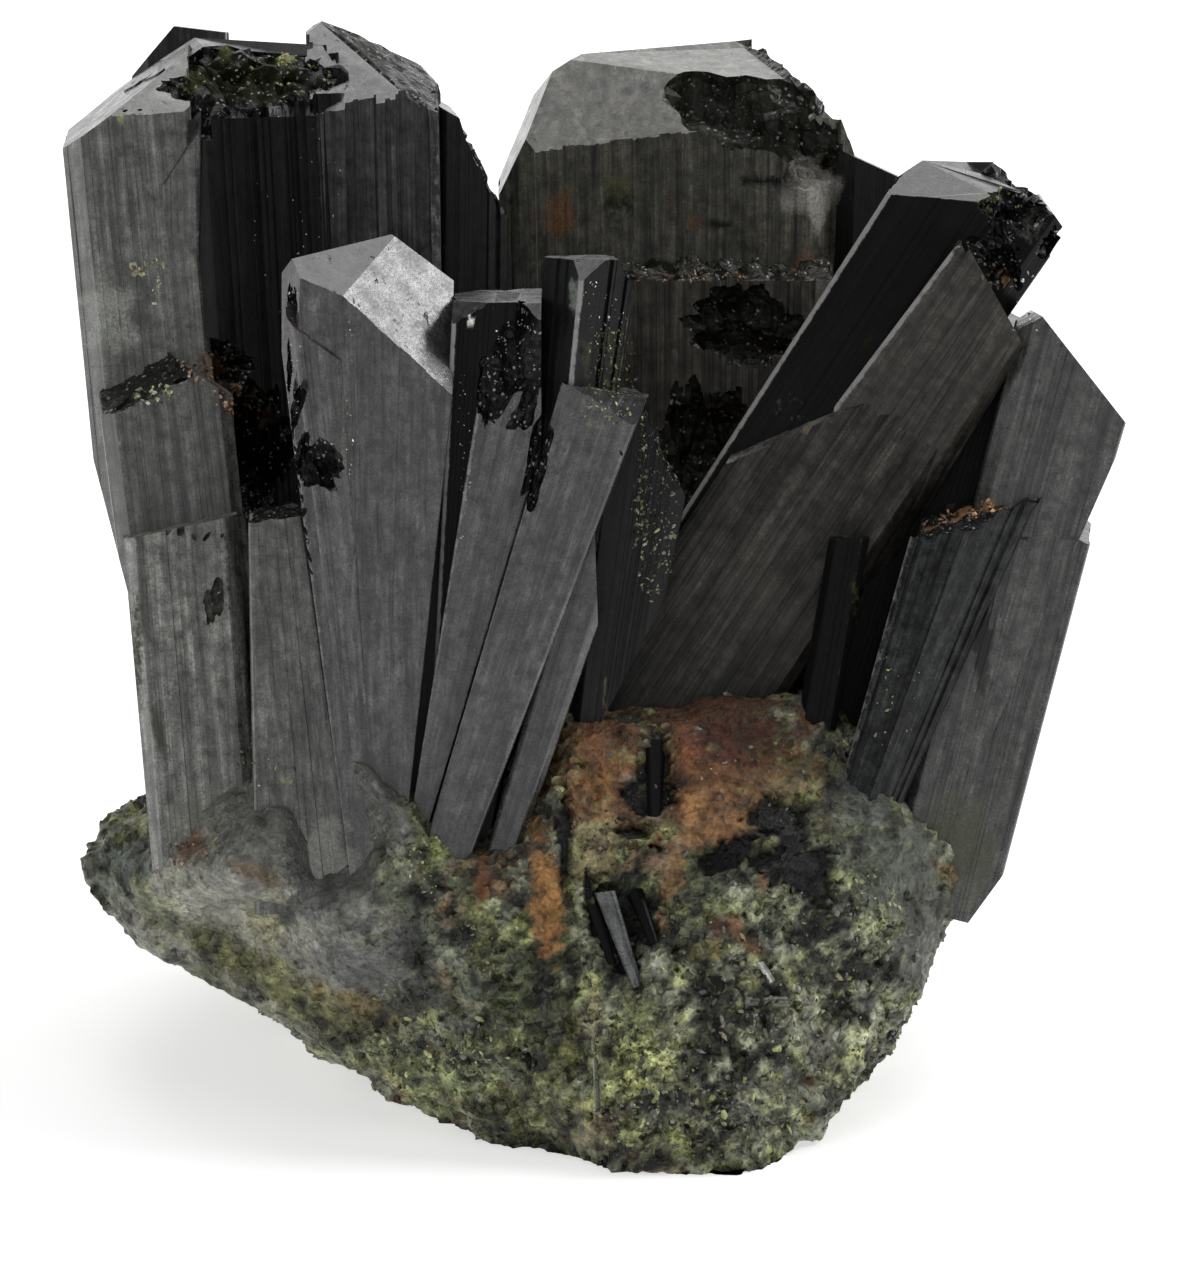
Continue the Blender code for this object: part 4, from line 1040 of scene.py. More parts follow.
# %% [markdown]
# ## The matrix
# The rock starts as the hull of its foot and corners, is remeshed into even facets and made lumpy. The crystals
# grow straight out of it here, without the narrow gaps that the solids keep. Its finest relief is granular: every
# point belongs to the nearest of many scattered seeds, and each seed tilts its own little facet.

# %% The rock's corners
FOOT_FRONT = -1.0
FOOT = (
    (-10.4, 14.6), (-7.8, 11.4), (-4.0, 5.2), (-1.6, 1.3), (2.5, -0.1), (4.8, -0.9), (6.6, -0.1),
    (8.1, 5.8), (10.5, 14.4), (11.2, 19.0), (9.0, 22.5), (-8.0, 22.5), (-10.5, 18.0),
)
CORNERS = (
    (-22.0, 8.4, 11.2), (-21.6, 8.0, 11.8), (-18.4, 8.4, 14.8), (-18.0, 5.6, 12.6), (-19.4, 15.0, 13.8),
    (-14.2, 3.2, 11.0), (-8.2, 2.2, 7.6), (-13.4, 0.1, 13.9), (-9.9, -0.1, 16.9), (-8.2, -0.2, 14.9),
    (-6.2, 0.1, 12.4), (-5.4, 0.1, 10.9), (0.0, -0.3, 8.5), (8.0, 0.2, 9.7), (10.8, 1.4, 14.2),
    (14.2, 4.2, 9.3), (15.8, 6.4, 12.4), (13.2, 5.0, 7.0), (11.8, 6.4, 4.9),
    (-0.4, 4.2, 17.8), (4.0, 4.2, 18.2), (7.6, 4.2, 19.2),
    (-13.0, 14.0, 17.5), (-2.0, 13.0, 19.0), (9.0, 13.0, 19.0), (15.0, 13.0, 15.0), (14.0, 20.0, 14.0),
    (-18.8, 19.0, 15.5), (-18.0, 22.0, 16.0), (-16.5, 21.0, 11.5), (-6.0, 24.5, 17.0), (11.0, 25.0, 17.0),
    (13.5, 22.0, 15.5), (10.5, 24.5, 11.0), (-1.0, 24.0, 10.0),
)
COARSE_FACET = 1.0
FINE_FACET = 0.198


def foot_place(x, y, below=0.0):
    """A place on the plane of the foot, or that much below it."""
    return Vector((x, y, (y - FOOT_FRONT) * math.tan(LEAN) - below))


def in_facets(bm, size):
    """The same closed shape with an even skin of facets of that size."""
    skin = mesh_object(bm, "skin", [])
    remesh = skin.modifiers.new("facets", "REMESH")
    remesh.mode = "VOXEL"
    remesh.voxel_size = size
    applied(skin)
    made = bmesh.new()
    made.from_mesh(skin.data)
    bpy.data.objects.remove(skin, do_unlink=True)
    return made


def beside_fan(x, z):
    """How far inside the wedge that the fan's foot fills a place is, seen from the front."""
    if x < -5.7:
        return (z - 12.6 + 1.02 * (x + 5.7)) * 0.7
    return (z - 12.7) if x < -3.4 else (z - 12.7 - 1.87 * (x + 3.4)) * 0.47


WEDGE_DEPTH = 2.9
BULGES = (
    (-16.6, 11.7, 2.6, 1.1, -1.9), (-13.5, 12.5, 1.6, 1.6, -1.7), (-11.0, 13.9, 2.0, 2.6, 2.3),
    (2.2, 15.7, 3.0, 1.8, 0.5), (0.8, 10.9, 1.6, 1.6, 0.5), (0.0, 5.3, 0.5, 2.6, -0.4),
    (-1.4, 8.5, 0.8, 2.2, 0.6), (-8.0, 8.5, 1.2, 1.6, 0.5), (3.6, 2.1, 3.0, 1.6, -0.4),
)


def settled(place):
    """A place on the rock, moved back behind the fan's foot or along with a bulge."""
    inside = min(1.0, max(0.0, beside_fan(place.x, place.z) / 0.9 + 0.4))
    if inside > 0 and place.y < WEDGE_DEPTH:
        place.y += (WEDGE_DEPTH - place.y) * inside
    elif place.y < 8:
        for x, z, wide, high, shift in BULGES:
            reach = math.hypot((place.x - x) / wide, (place.z - z) / high)
            place.y += shift * max(0.0, 1 - reach * reach / 2)
    return place


rock_bm = bmesh.new()
places = [foot_place(x, y, below) for x, y in FOOT for below in (0.0, 1.5)] + list(CORNERS)
hull = bmesh.ops.convex_hull(rock_bm, input=[rock_bm.verts.new(p) for p in places])
inside = {v for v in hull["geom_interior"] + hull["geom_unused"] if isinstance(v, bmesh.types.BMVert)}
bmesh.ops.delete(rock_bm, geom=list(inside), context="VERTS")
rock_bm.transform(STANCE)
rock_bm = in_facets(rock_bm, COARSE_FACET)
roughened(rock_bm, ((0.9, 3.0), (0.45, 1.5), (0.2, 0.75)), 5)
rock_bm = in_facets(rock_bm, COARSE_FACET / 2)
unlean = STANCE.inverted()
for vert in rock_bm.verts:
    vert.co = STANCE @ settled(unlean @ vert.co)
rock_bm = in_facets(rock_bm, FINE_FACET)
print("the rock has", len(rock_bm.verts), "points")

# %% [markdown]
# ## Where the rock is rust-brown, yellow-green or bare
# Patches are ragged ellipses on the front, given by their middle and radii along x and z. Each has a colour as the
# eye sees it, and says how granular the rock is there: earthy clay is smooth, the green druse is coarse.

# %% The rock's patches
ZONE_COLOURS = (
    COAL, COAL, COAL, DEEP_GREEN, STONE, STONE, GREY_GREEN, YELLOW_GREEN, PALE_GREEN, seen(134, 136, 124),
)
ZONES = 110


def grain_zones(seed):
    """Two wide patches of druse, and many small ones of one mineral each."""
    rng = random.Random(seed)
    zones = [(5.6, 6.5, 7.6, 6, seen(126, 129, 110), 1.0), (10.4, 9.3, 2.8, 3.2, seen(112, 115, 98), 0.9)]
    for _ in range(ZONES):
        angle, out = rng.uniform(0, 2 * math.pi), rng.random() ** 0.6
        middle = (6.3 + 6.8 * math.cos(angle) * out, 6.3 + 5.6 * math.sin(angle) * out)
        radii = (rng.uniform(0.2, 0.8), rng.uniform(0.15, 0.5))
        zones.append((*middle, *radii, rng.choice(ZONE_COLOURS), 0.7, rng.uniform(-70, 70), 4))
    return [Patch(*zone) for zone in zones]


ROCK_PATCHES = grain_zones(12) + [Patch(*row) for row in (
    # the smooth grey left half, where the crystals fade into the rock
    (-14, 9.3, 9.2, 6, seen(114, 114, 106), 0.3), (-12.4, 14.9, 7.2, 3.6, seen(92, 92, 88), 0.2),
    (-19.6, 11.9, 1.36, 1.2, seen(84, 90, 84), 0.4), (-18.6, 13.8, 0.96, 0.64, seen(116, 116, 92), 0.5),
    (-10.8, 13.3, 3.2, 4.8, seen(80, 80, 78), 0.12), (-12.4, 6.9, 8.4, 1.04, seen(88, 88, 62), 0.5, -31),
    (-7.6, 9.7, 1.36, 3.2, seen(74, 74, 74), 0.3), (-13.4, 9.9, 0.96, 1.2, seen(116, 114, 92), 0.4),
    (-9.8, 10.7, 0.72, 0.56, seen(112, 112, 106), 0.3), (-17.6, 10.1, 1.6, 0.48, seen(84, 86, 72), 0.4, -30),
    (-12.4, 11.2, 0.28, 0.2, seen(140, 138, 132), 0.3), (-12.6, 10.1, 0.64, 0.48, seen(58, 58, 56), 0.3),
    (-16.5, 13, 0.8, 0.56, seen(88, 74, 62), 0.3), (-13.8, 12, 1.36, 0.32, seen(98, 88, 74), 0.3, -20),
    (-9.8, 8.1, 2, 1.6, seen(80, 80, 78), 0.3), (-16, 7.5, 2.4, 0.56, seen(80, 82, 64), 0.4, -30),
    (-9.6, 6.5, 2, 0.56, seen(92, 84, 60), 0.5, -20),
    # the seam between the grey half and the druse
    (-6.8, 12.4, 0.72, 1.2, seen(106, 112, 74), 0.7), (-4.9, 9.7, 0.8, 2, OLIVE, 0.8),
    (-8, 11.3, 1.04, 2, GREY_GREEN, 0.5), (-4.7, 11.7, 0.36, 1.12, seen(92, 62, 44), 0.3),
    (-6.2, 7.9, 0.32, 0.96, seen(110, 90, 68), 0.4, 20), (-5.4, 6.8, 0.88, 0.24, seen(130, 112, 90), 0.4, -20),
    (-6.8, 6.9, 1.76, 0.88, seen(58, 58, 54), 0.6), (-3.2, 6.9, 1.2, 3.2, seen(52, 56, 42), 0.9),
    (-6, 3.9, 2.4, 1.36, seen(94, 100, 74), 0.9), (-9.2, 4.9, 2, 0.8, seen(84, 86, 70), 0.7),
    (-3.2, 2.3, 2.4, 0.96, seen(78, 78, 58), 0.8), (-0.4, 1.3, 1.76, 0.48, seen(96, 90, 78), 0.2),
    # the druse
    (1.6, 4.1, 2.16, 2, seen(146, 149, 102), 1), (-0.2, 5.3, 0.36, 3.2, seen(110, 108, 80), 0.9),
    (-1.2, 4.9, 0.56, 2.4, seen(78, 78, 50), 0.8), (3.6, 9.7, 2, 2, seen(50, 52, 42), 0.9),
    (4.6, 8.8, 0.8, 0.4, MUSTARD, 0.8), (4.2, 11.5, 0.56, 1.2, seen(72, 78, 62), 0.9),
    (4.8, 6.1, 1.6, 1.84, seen(44, 45, 40), 0.8), (8.4, 7.9, 2.4, 0.96, seen(54, 54, 48), 0.7),
    (6.7, 6.8, 0.96, 0.32, seen(98, 104, 70), 0.6), (3.2, 2.9, 1.36, 0.96, seen(60, 60, 54), 0.7),
    (7.4, 2.9, 1.84, 1.6, seen(94, 96, 84), 0.7), (8.8, 4.9, 0.8, 1.2, seen(92, 92, 82), 0.6),
    (8.5, 3.6, 0.32, 0.4, RED_CLAY, 0.4), (11.6, 10.7, 0.72, 1.12, seen(112, 118, 86), 0.9),
    (13.2, 9.7, 1.36, 2.4, seen(84, 86, 76), 0.4), (2.4, 1.3, 2.8, 0.8, seen(80, 82, 58), 1),
    (10.4, 12.5, 2, 2.4, seen(78, 82, 66), 0.7), (1.6, 6.5, 0.96, 1.2, seen(100, 104, 74), 0.9),
    (9.2, 9.9, 1.04, 0.56, COAL, 0.5), (8.8, 13.7, 2, 0.8, seen(80, 84, 66), 0.7),
    # the earthy middle
    (4, 15.7, 5.2, 3.2, seen(88, 62, 43), 0.35), (0, 14.9, 1.76, 2.4, seen(104, 76, 50), 0.4),
    (-0.2, 12.9, 1.36, 1.6, seen(112, 104, 78), 0.6), (5.4, 17.5, 2.56, 1.44, seen(60, 38, 26), 0.3),
    (3.5, 17.1, 0.64, 1.12, seen(96, 62, 46), 0.3), (4.6, 14.3, 1.76, 1.44, seen(120, 90, 62), 0.35),
    (6.6, 15.7, 1.6, 0.48, seen(92, 72, 52), 0.4, 12), (1.6, 12.3, 1.2, 0.4, seen(114, 96, 76), 0.4),
    (2.9, 11.7, 0.4, 1.6, seen(110, 88, 64), 0.4, -25), (2.4, 9.9, 0.32, 0.72, seen(160, 126, 94), 0.4),
    (5.2, 9.9, 0.8, 0.48, RUST, 0.5), (6, 9.1, 0.88, 0.32, seen(84, 62, 46), 0.5, -40),
    (6.6, 11.7, 0.36, 0.56, seen(96, 78, 60), 0.4), (1.2, 15.7, 0.48, 0.32, seen(118, 104, 92), 0.4),
    (2.2, 14.2, 0.48, 0.28, seen(126, 108, 96), 0.4), (8, 15.3, 1.44, 0.56, seen(98, 88, 66), 0.4),
    # Patches with an edge of 5 are sunk as voids; their near-black is partly dark crystal and partly painted shade of
    # the hollow.
    (7.2, 14.2, 1.2, 0.8, COAL, 0.5, 0, 5), (8, 12.2, 1.68, 1.2, COAL, 0.4, -30, 5),
    (5.1, 12.8, 1.28, 0.48, COAL, 0.5, 30, 5), (2.2, 15.8, 0.76, 2.08, COAL, 0.4, 0, 5),
    (-1.4, 13.3, 0.28, 2.24, COAL, 0.5, 0, 5), (1.2, 10.1, 1.36, 1.76, seen(36, 40, 36), 0.5, 0, 4),
    (1.4, 15, 0.88, 0.4, COAL, 0.4, -50, 5), (1.4, 13.6, 0.72, 0.32, COAL, 0.4, 0, 5),
    (9, 9.7, 1.04, 0.52, COAL, 0.5, 20, 4), (5.2, 6.5, 1.84, 1.2, seen(38, 39, 35), 0.8, 0, 3),
    (-2.2, 10.9, 0.72, 2.64, seen(124, 92, 58), 0.35, 6, 3), (-6.8, 9.7, 0.96, 4.8, seen(88, 92, 80), 0.6, 32),
    (-7.3, 8.5, 0.48, 1.6, seen(46, 46, 44), 0.5, 30, 3), (2.6, 3, 1.36, 0.52, seen(42, 42, 39), 0.6, 15, 4),
    (0.5, 9.9, 0.64, 2, COAL, 0.4, 20, 5), (4, 18.9, 4.4, 1.04, seen(74, 54, 42), 0.3),
    (0, 17.4, 1.6, 0.88, seen(98, 70, 50), 0.35), (5.4, 12.9, 1.2, 0.48, COAL, 0.4, 35, 5),
    (12, 12.1, 2.24, 2.4, seen(80, 83, 76), 0.35), (13.4, 8.9, 1.6, 2.8, seen(84, 86, 80), 0.3),
    (10.8, 14.9, 2, 1.2, seen(70, 73, 68), 0.35),
)]
VOID_EDGE = 5
BACK_COLOURS = (DEEP_GREEN, OLIVE, GREY_GREEN, seen(84, 70, 54), seen(98, 102, 74))
print(len(ROCK_PATCHES), "patches on the front of the rock")


def rock_look(place, towards_front):
    """The colour and the relief of the rock at a place in the fan's frame, and how far it is a sunk void, whose
    near-black is partly dark crystal and partly painted shade.
    """
    ragged = sum(height * noise.noise(place * often) for height, often in ((0.5, 0.9), (0.4, 2.3), (0.35, 5.1)))
    pick = noise.noise(place * 0.22 + Vector((9, 2, 5))) * 4 + 1.8 + 1.2 * noise.noise(place * 0.9)
    colour, relief, sunk = Vector(BACK_COLOURS[min(4, max(0, int(pick)))]), 0.8, 0.0
    if towards_front:
        for patch in ROCK_PATCHES:
            share = patch.share(place, ragged)
            if share > 0:
                colour = colour.lerp(patch.colour, share)
                relief += (patch.strength - relief) * share
                sunk = max(sunk, share) if patch.edge >= VOID_EDGE else sunk * (1 - share)
    streak = noise.noise(Vector((place.x * 1.6, place.y, place.z * 0.25)))
    blotch = (noise.noise(place * 0.8) + 0.8 * noise.noise(place * 1.9)) * min(1.0, relief)
    colour = colour.lerp(Vector(COAL), min(0.85, max(0.0, -blotch * 3.2 - 0.4)))
    colour = colour.lerp(Vector(YELLOW_GREEN), min(0.4, max(0.0, blotch * 2.0 - 0.5)))
    return colour * (1.0 + 0.9 * blotch + 0.6 * streak * max(0.0, 1.0 - relief)), relief, sunk


# %% The rock's grain and colour
COARSE_GRAIN, FINE_GRAIN = 0.78, 0.36
VOID_DEPTH = 0.35


def block(place, size):
    """How much a place stands out, because its grain lies askew, and a number that stays the same over that grain."""
    scaled = place / size
    seed = Vector(noise.voronoi(scaled)[1][0])
    own = noise.noise(seed * 3.3)
    return ((scaled - seed).dot(random_way(seed, 0.0)) * 0.44 + own * 0.3) * size, own


rock_bm.normal_update()
moves, rock_tints, reliefs = [], [], []
for vert in rock_bm.verts:
    place = unlean @ vert.co
    front = (unlean.to_3x3() @ vert.normal).y < 0.35
    colour, relief, sunk = rock_look(place, front)
    coarse, own = block(vert.co, COARSE_GRAIN)
    fine, own_fine = block(vert.co, FINE_GRAIN)
    moves.append(vert.normal * ((coarse + fine) * relief - VOID_DEPTH * sunk))
    shade = 1.0 + (0.7 * own + 0.5 * own_fine) * min(1.0, relief)
    rock_tints.append(colour * max(0.2, shade))
    reliefs.append(relief)
for vert, move in zip(rock_bm.verts, moves):
    vert.co += move
foot_level = (STANCE @ foot_place(0, 0)).z
for vert in rock_bm.verts:
    vert.co.z = max(vert.co.z, foot_level)
rock_bm.transform(Matrix.Scale(MM, 4) @ Matrix.Translation(FAN_PLACE))


def rock_finish():
    """Mineral grains of many shades, smaller than the rock's own facets, where the rock is granular."""
    n = Nodes("matrix_rock")
    place = n.place()
    tint, relief = n.attribute("tint", "Color"), n.attribute("relief")
    warped = n.plus(place, n.scaled(n.add("ShaderNodeTexNoise", {"Vector": place, "Scale": 2.0}).outputs["Color"], 0.3))
    grain = n.add("ShaderNodeSeparateColor", {0: n.cells(warped, 2.6, "Color")}).outputs
    crumb = n.add("ShaderNodeSeparateColor", {0: n.cells(warped, 6.5, "Color")}).outputs
    grit = n.noise(place, 3.0, 6.0, 0.72)
    strength = n.remap(relief, 0.2, 1.1, 0.35, 1.0)
    shade = n.plus_all(
        n.remap(grain[0], 0.0, 1.0, -0.65, 0.85), n.remap(crumb[0], 0.0, 1.0, -0.5, 0.8),
        n.remap(grit, 0.3, 0.7, -0.6, 0.5),
    )
    factor = n.maths("MAXIMUM", n.maths("ADD", n.maths("MULTIPLY", shade, strength), 1.0), 0.12)
    grainy = n.remap(relief, 0.45, 1.0, 0.0, 1.0)
    green = n.maths("MULTIPLY", n.remap(grain[1], 0.62, 0.85, 0.0, 0.45), grainy)
    grey = n.maths("MULTIPLY", n.remap(crumb[1], 0.6, 0.9, 0.0, 0.5), grainy)
    greyer = n.mixed(grey, n.mixed(green, tint, (0.21, 0.22, 0.12, 1)), (0.09, 0.09, 0.085, 1))
    n.set(Base_Color=n.scaled(greyer, factor), IOR=1.55, Specular_IOR_Level=0.4)
    n.set(Roughness=n.remap(n.maths("ADD", grit, n.maths("MULTIPLY", crumb[2], 0.4)), 0.35, 1.1, 0.75, 0.25))
    low = n.bumps(n.cells(warped, 2.6), 0.00022, 0.6, n.bumps(grit, 0.00022, 0.6))
    n.set(Normal=n.bumps(n.cells(warped, 6.5), 0.0001, 0.6, low))
    return n.material


rock = mesh_object(rock_bm, "rock", [rock_finish()])
put(rock, "tint", "FLOAT_COLOR", "color", [c for tint in rock_tints for c in (*tint, 1.0)])
put(rock, "relief", "FLOAT", "value", reliefs)
print("rock has", sum(len(p.vertices) - 2 for p in rock.data.polygons), "triangles")

# %% [markdown]
# ## What lies on the surface
# Rays from the front find the surface of whatever is there, crystal or rock. The same way serves for the small dark
# prisms that stick in the rusty clay and for the thousands of crumbs: each one is put where its ray arrives.

# %% Finding the surface
def tree_of(thing):
    """A search tree of an object's faces, for rays."""
    bm = bmesh.new()
    bm.from_mesh(thing.data)
    tree = BVHTree.FromBMesh(bm)
    bm.free()
    return tree


TREES = [tree_of(t) for t in (front_fan, left_bundle, right_crystals, back_prisms, rock)]
TO_FAN = TO_MODEL.inverted()
BEFORE = -60.0


def arrival(start, direction, trees=TREES):
    """Where a ray in the fan's frame first meets the cluster, and the surface's normal there."""
    origin, along = TO_MODEL @ Vector(start), (TO_MODEL.to_3x3() @ Vector(direction)).normalized()
    hits = [t.ray_cast(origin, along) for t in trees]
    hits = [h for h in hits if h[0] is not None]
    if not hits:
        return None, None
    place, normal, _, _ = min(hits, key=lambda h: h[3])
    return TO_FAN @ place, (TO_FAN.to_3x3() @ normal).normalized()


# %% Small prisms in the clay
def blade(x, z, end_x, end_z, width, proud=0.25, finish=SHADED, film=(0.0, 0.0, 0.0), seed=100):
    """A small prism that lies on the rock from one place to another, seen from the front."""
    ends = []
    for across, up in ((x, z), (end_x, end_z)):
        place, _ = arrival((across, BEFORE, up), (0, 1, 0), TREES[-1:])
        ends.append(place)
    depth = width * 0.8
    for place in ends:
        place.y += depth / 2 - proud
    rng = random.Random(seed)
    cuts = [width * rng.uniform(0.12, 0.3) for _ in range(4)]
    tilt = (rng.uniform(-25, 25), rng.uniform(15, 40))
    along = (ends[1] - ends[0]).normalized()
    side = math.degrees(math.atan2(along.x, -along.y))
    steep = math.degrees(math.acos(max(-1.0, min(1.0, along.z))))
    return crystal(
        ends[0], ends[1], slab(width, depth, cuts), taper=rng.uniform(0.5, 0.9), turn=tilt[0], seed=seed, ridge=0,
        ends=((side + tilt[0], steep - tilt[1] / 2, ends[1]),), finish=finish, film=film, wear_and_glint=(0.2,) * 8,
    )


GREEN_FILM = (0.05, 0.06, 0.025)
prisms = [
    blade(1.5, 7.4, 0.2, 11.2, 0.8, 0.3, FACE, (0.04, 0.045, 0.045), 107),
    blade(2.2, 9.1, 1.4, 11.2, 0.7, 0.12, DEEP_SHADED, seed=108), blade(0.5, 8.3, -0.3, 10.7, 0.5, 0.12, DEEP_SHADED, seed=109),
    blade(2.2, 13.8, 2.2, 17.2, 0.9, 0.06, DEEP_SHADED, seed=101), blade(7.8, 11.4, 7.4, 13.0, 1.3, 0.08, DEEP_SHADED, seed=112),
    blade(6.9, 7.6, 6.4, 8.4, 0.3, 0.12, END, (0.4, 0.4, 0.38), 115),
    blade(5.9, 6.8, 7.5, 6.8, 0.5, 0.12, FACE, GREEN_FILM, 116),
    blade(4.8, 5.1, 4.7, 7.8, 0.9, 0.1, seed=117), blade(-0.1, 2.6, -0.4, 8.5, 0.3, 0.15, FACE, GREEN_FILM, 119),
]
clay_prisms = grown_together("clay_prisms", prisms, ((4, 6.9, 6.4, 3.6, OLIVE, 0.3),))

# %% [markdown]
# ## Crumbs
# Druse grains, crumbs of rust and tiny pale lumps that stand in as painted highlights are all the same kind of thing:
# a low, many-sided lump, turned at random and coloured from a small set. Six lumps are made once and copied,
# because there are thousands of them.

# %% Crumbs
def lump_template(seed):
    """An angular lump with a few faces: the hull of a jittered ball."""
    rng = random.Random(seed)
    bm = bmesh.new()
    bmesh.ops.create_icosphere(bm, subdivisions=1, radius=1)
    for vert in bm.verts:
        vert.co *= rng.uniform(0.55, 1.1)
    hull = bmesh.ops.convex_hull(bm, input=bm.verts[:])
    spare = {v for v in hull["geom_interior"] + hull["geom_unused"] if isinstance(v, bmesh.types.BMVert)}
    bmesh.ops.delete(bm, geom=list(spare), context="VERTS")
    mesh = bpy.data.meshes.new("lump")
    bmesh.ops.recalc_face_normals(bm, faces=bm.faces)
    bm.to_mesh(mesh)
    bm.free()
    return mesh


LUMPS = [lump_template(seed) for seed in range(6)]
BATCH = 4000
LOWEST = 0.5 * MM


class Crumbs:
    """Collects lumps in batches, with a colour for each of their points. Each has random numbers of its own."""

    def __init__(self, seed):
        self.rng, self.meshes, self.tints, self.batch = random.Random(seed), [], [], bmesh.new()

    def add(self, rng, place, normal, size, colour):
        mesh, start = rng.choice(LUMPS), len(self.batch.verts)
        self.batch.from_mesh(mesh)
        self.batch.verts.ensure_lookup_table()
        turn = Matrix.Rotation(rng.uniform(0, 6.3), 4, (rng.uniform(-1, 1), rng.uniform(-1, 1), rng.uniform(-1, 1)))
        shape = Matrix.Diagonal((rng.uniform(0.4, 1.0), rng.uniform(0.5, 1.0), rng.uniform(0.7, 1.9), 1))
        matrix = Matrix.Translation(place - normal * size * 0.08) @ turn @ shape @ Matrix.Scale(size / 2, 4)
        shade = rng.uniform(0.5, 1.5)
        for vert in self.batch.verts[start:]:
            vert.co = matrix @ vert.co
            self.tints += [c * shade for c in colour] + [1.0]
        if len(self.batch.verts) > BATCH:
            self.close_batch()

    def close_batch(self):
        mesh = bpy.data.meshes.new("batch")
        self.batch.to_mesh(mesh)
        self.batch.free()
        self.meshes.append(mesh)
        self.batch = bmesh.new()

    def spread(self, x, z, wide, high, count, smallest, largest, colours, turn=0.0):
        """Crumbs in an ellipse, seen from the front, thicker towards its middle."""
        cos, sin = math.cos(math.radians(turn)), math.sin(math.radians(turn))
        for _ in range(count):
            rng = random.Random(self.rng.random())
            angle, out = rng.uniform(0, 2 * math.pi), rng.uniform(0, 1) ** 0.6
            across, up = math.cos(angle) * out * wide, math.sin(angle) * out * high
            start = (x + across * cos - up * sin, BEFORE, z + across * sin + up * cos)
            place, normal = arrival(start, (0, 1, 0))
            if place is not None and (TO_MODEL @ place).z > LOWEST:
                size = smallest + (largest - smallest) * rng.random() ** 2
                self.add(rng, place, normal, size, rng.choice(colours))

    def all_round(self, count, smallest, largest, colours):
        """Crumbs on the rock from every side."""
        for _ in range(count):
            rng = random.Random(self.rng.random())
            angle = rng.uniform(-0.4 * math.pi, 1.4 * math.pi)
            aim = Vector((rng.uniform(-11, 11), rng.uniform(6, 20), rng.uniform(1, 18)))
            out = Vector((math.cos(angle), math.sin(angle), rng.uniform(-0.2, 0.6))).normalized()
            place, normal = arrival(aim - out * BEFORE, -out, TREES[-1:])
            smooth_side = place is not None and place.x < -5 and place.y < 9
            if place is not None and not smooth_side and (TO_MODEL @ place).z > LOWEST:
                size = smallest + (largest - smallest) * rng.random() ** 2
                self.add(rng, place, normal, size, rng.choice(colours))

    def made(self, name, finish):
        self.close_batch()
        bm = bmesh.new()
        for mesh in self.meshes:
            bm.from_mesh(mesh)
            bpy.data.meshes.remove(mesh)
        bm.transform(TO_MODEL)
        thing = mesh_object(bm, name, [finish])
        put(thing, "tint", "FLOAT_COLOR", "color", self.tints)
        print(name, "has", len(thing.data.polygons), "faces")
        return thing


def crumb_finish():
    """A small mineral grain of any colour."""
    n = Nodes("mineral_crumb")
    place = n.place()
    grit = n.noise(place, 6.0, 4.0, 0.7)
    n.set(Base_Color=n.scaled(n.attribute("tint", "Color"), n.remap(grit, 0.3, 0.7, 0.5, 1.35)))
    n.set(Roughness=n.remap(grit, 0.3, 0.7, 0.18, 0.5), IOR=1.7)
    n.set(Normal=n.bumps(grit, 0.00008, 0.4))
    return n.material


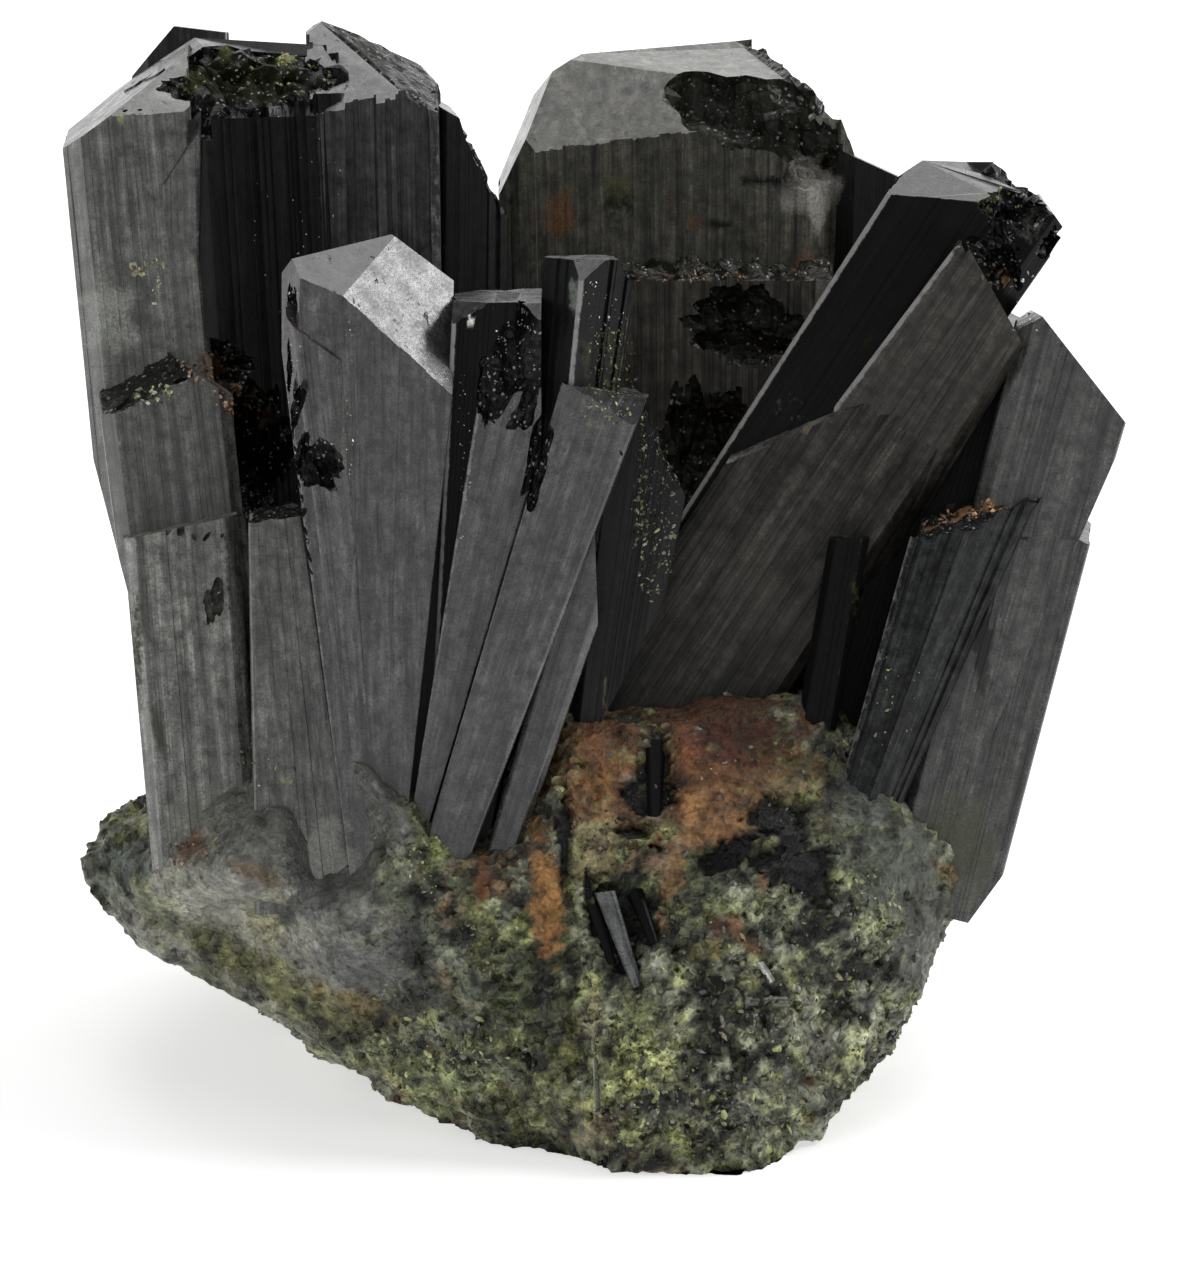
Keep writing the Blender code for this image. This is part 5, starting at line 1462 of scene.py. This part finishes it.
# %% Crumbs where they lie
DRUSE = GREEN_GRAINS[:1] + (GREY_GREEN, GREY_GREEN, DEEP_GREEN, STONE, STONE, KHAKI, COAL)
crumbs = Crumbs(77)
for spot in (
    (6.8, 6.5, 7.2, 5.2, 700, 0.1, 0.42, DRUSE), (1.6, 3.9, 2, 2, 160, 0.1, 0.36, GREEN_GRAINS),
    (11.2, 10.3, 1.2, 2, 110, 0.1, 0.34, GREEN_GRAINS), (-6.0, 4.5, 3.6, 2, 220, 0.14, 0.4, GREEN_GRAINS),
    (4.0, 2.1, 4.8, 1.44, 160, 0.16, 0.45, DRUSE), (-6.8, 12.2, 0.96, 1.36, 60, 0.1, 0.3, GREEN_GRAINS),
    (-4.8, 9.7, 0.96, 1.84, 60, 0.12, 0.3, DRUSE), (0.0, 12.9, 1.36, 1.6, 60, 0.12, 0.34, (KHAKI, TAN, COAL, OLIVE)),
    (4.8, 15.7, 4.4, 2.8, 110, 0.08, 0.24, RUST_GRAINS + (COAL, TAN)),
    (-13.2, 7.3, 6.8, 2.4, 110, 0.1, 0.3, (GREY_GREEN, OLIVE, STONE, KHAKI)),
    (2.2, 26.5, 0.96, 3.8, 300, 0.07, 0.26, DRUSE), (1.7, 26.9, 0.24, 3.6, 90, 0.08, 0.24, GREEN_GRAINS),
    (0.6, 32.1, 0.96, 2.4, 200, 0.06, 0.2, DRUSE), (0.0, 30.4, 1.2, 0.48, 40, 0.08, 0.22, GREEN_GRAINS),
    # The palest crumbs on the crystals are painted highlights where their faces and edges sparkle.
    (0.0, 34.1, 0.96, 1.6, 40, 0.05, 0.12, PAINTED_GLINT_GRAINS), (-12.3, 31.7, 0.36, 4.8, 50, 0.05, 0.13, PAINTED_GLINT_GRAINS),
    (-10.0, 30.5, 0.2, 4, 22, 0.05, 0.12, PAINTED_GLINT_GRAINS), (-5.5, 28.5, 0.32, 3.6, 30, 0.05, 0.12, PAINTED_GLINT_GRAINS),
    (-3.6, 32.5, 1.04, 2, 40, 0.05, 0.11, PAINTED_GLINT_GRAINS),
    (-14.2, 44.3, 3.2, 1.36, 110, 0.1, 0.32, (OLIVE, DEEP_GREEN, COAL, YELLOW_GREEN, KHAKI)),
    (-13.0, 45.3, 0.48, 0.4, 16, 0.2, 0.4, (YELLOW_GREEN, MUSTARD)),
    (-12.7, 39.3, 2.4, 4.8, 34, 0.05, 0.1, PAINTED_GLINT_GRAINS), (-18.4, 36.5, 0.8, 0.36, 22, 0.14, 0.36, CREAM_GRAINS),
    (-18.1, 35.6, 0.24, 0.64, 10, 0.12, 0.3, CREAM_GRAINS),
    (-18.1, 31.3, 0.88, 0.44, 34, 0.14, 0.36, GREEN_GRAINS + CREAM_GRAINS),
    (-16.0, 32.5, 1.12, 0.8, 50, 0.12, 0.42, RUST_GRAINS), (-14.6, 31.1, 1.36, 0.64, 40, 0.12, 0.4, RUST_GRAINS),
    (-13.5, 16.2, 1.36, 1.04, 30, 0.1, 0.3, GREEN_GRAINS),
    (16.3, 36.1, 0.8, 0.8, 22, 0.12, 0.36, RUST_GRAINS + (TAN,)),
    (17.4, 35.0, 0.48, 1.44, 14, 0.1, 0.26, PAINTED_GLINT_GRAINS),
    (14.9, 26.4, 1.92, 0.32, 60, 0.12, 0.36, (ORANGE, TAN, RUST, seen(190, 150, 110)), 16),
    (16.3, 39.2, 0.96, 0.56, 20, 0.12, 0.34, GREEN_GRAINS),
    (3.7, 36.4, 2.8, 0.28, 36, 0.12, 0.34, (TAN, KHAKI, RUST)),
    (-16.6, 12.7, 0.96, 0.56, 26, 0.12, 0.34, RUST_GRAINS), (11.7, 19.3, 1.2, 2.4, 24, 0.08, 0.2, GREEN_GRAINS),
):
    crumbs.spread(*spot)
crumbs.all_round(900, 0.16, 0.5, DRUSE + (RUST,))
druse_crumbs = crumbs.made("druse_crumbs", crumb_finish())

# %% Finish
for piece, node, slot in (
    (front_fan, "front_crystals", "black_crystal"), (left_bundle, "left_crystals", "black_crystal"),
    (right_crystals, "right_crystals", "black_crystal"), (back_prisms, "back_crystals", "black_crystal"),
    (rock, "matrix", "matrix"),
):
    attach(piece, "root")
    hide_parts(node)
for piece, slot in ((clay_prisms, "black_crystal"), (druse_crumbs, "matrix")):
    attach(piece, "root")
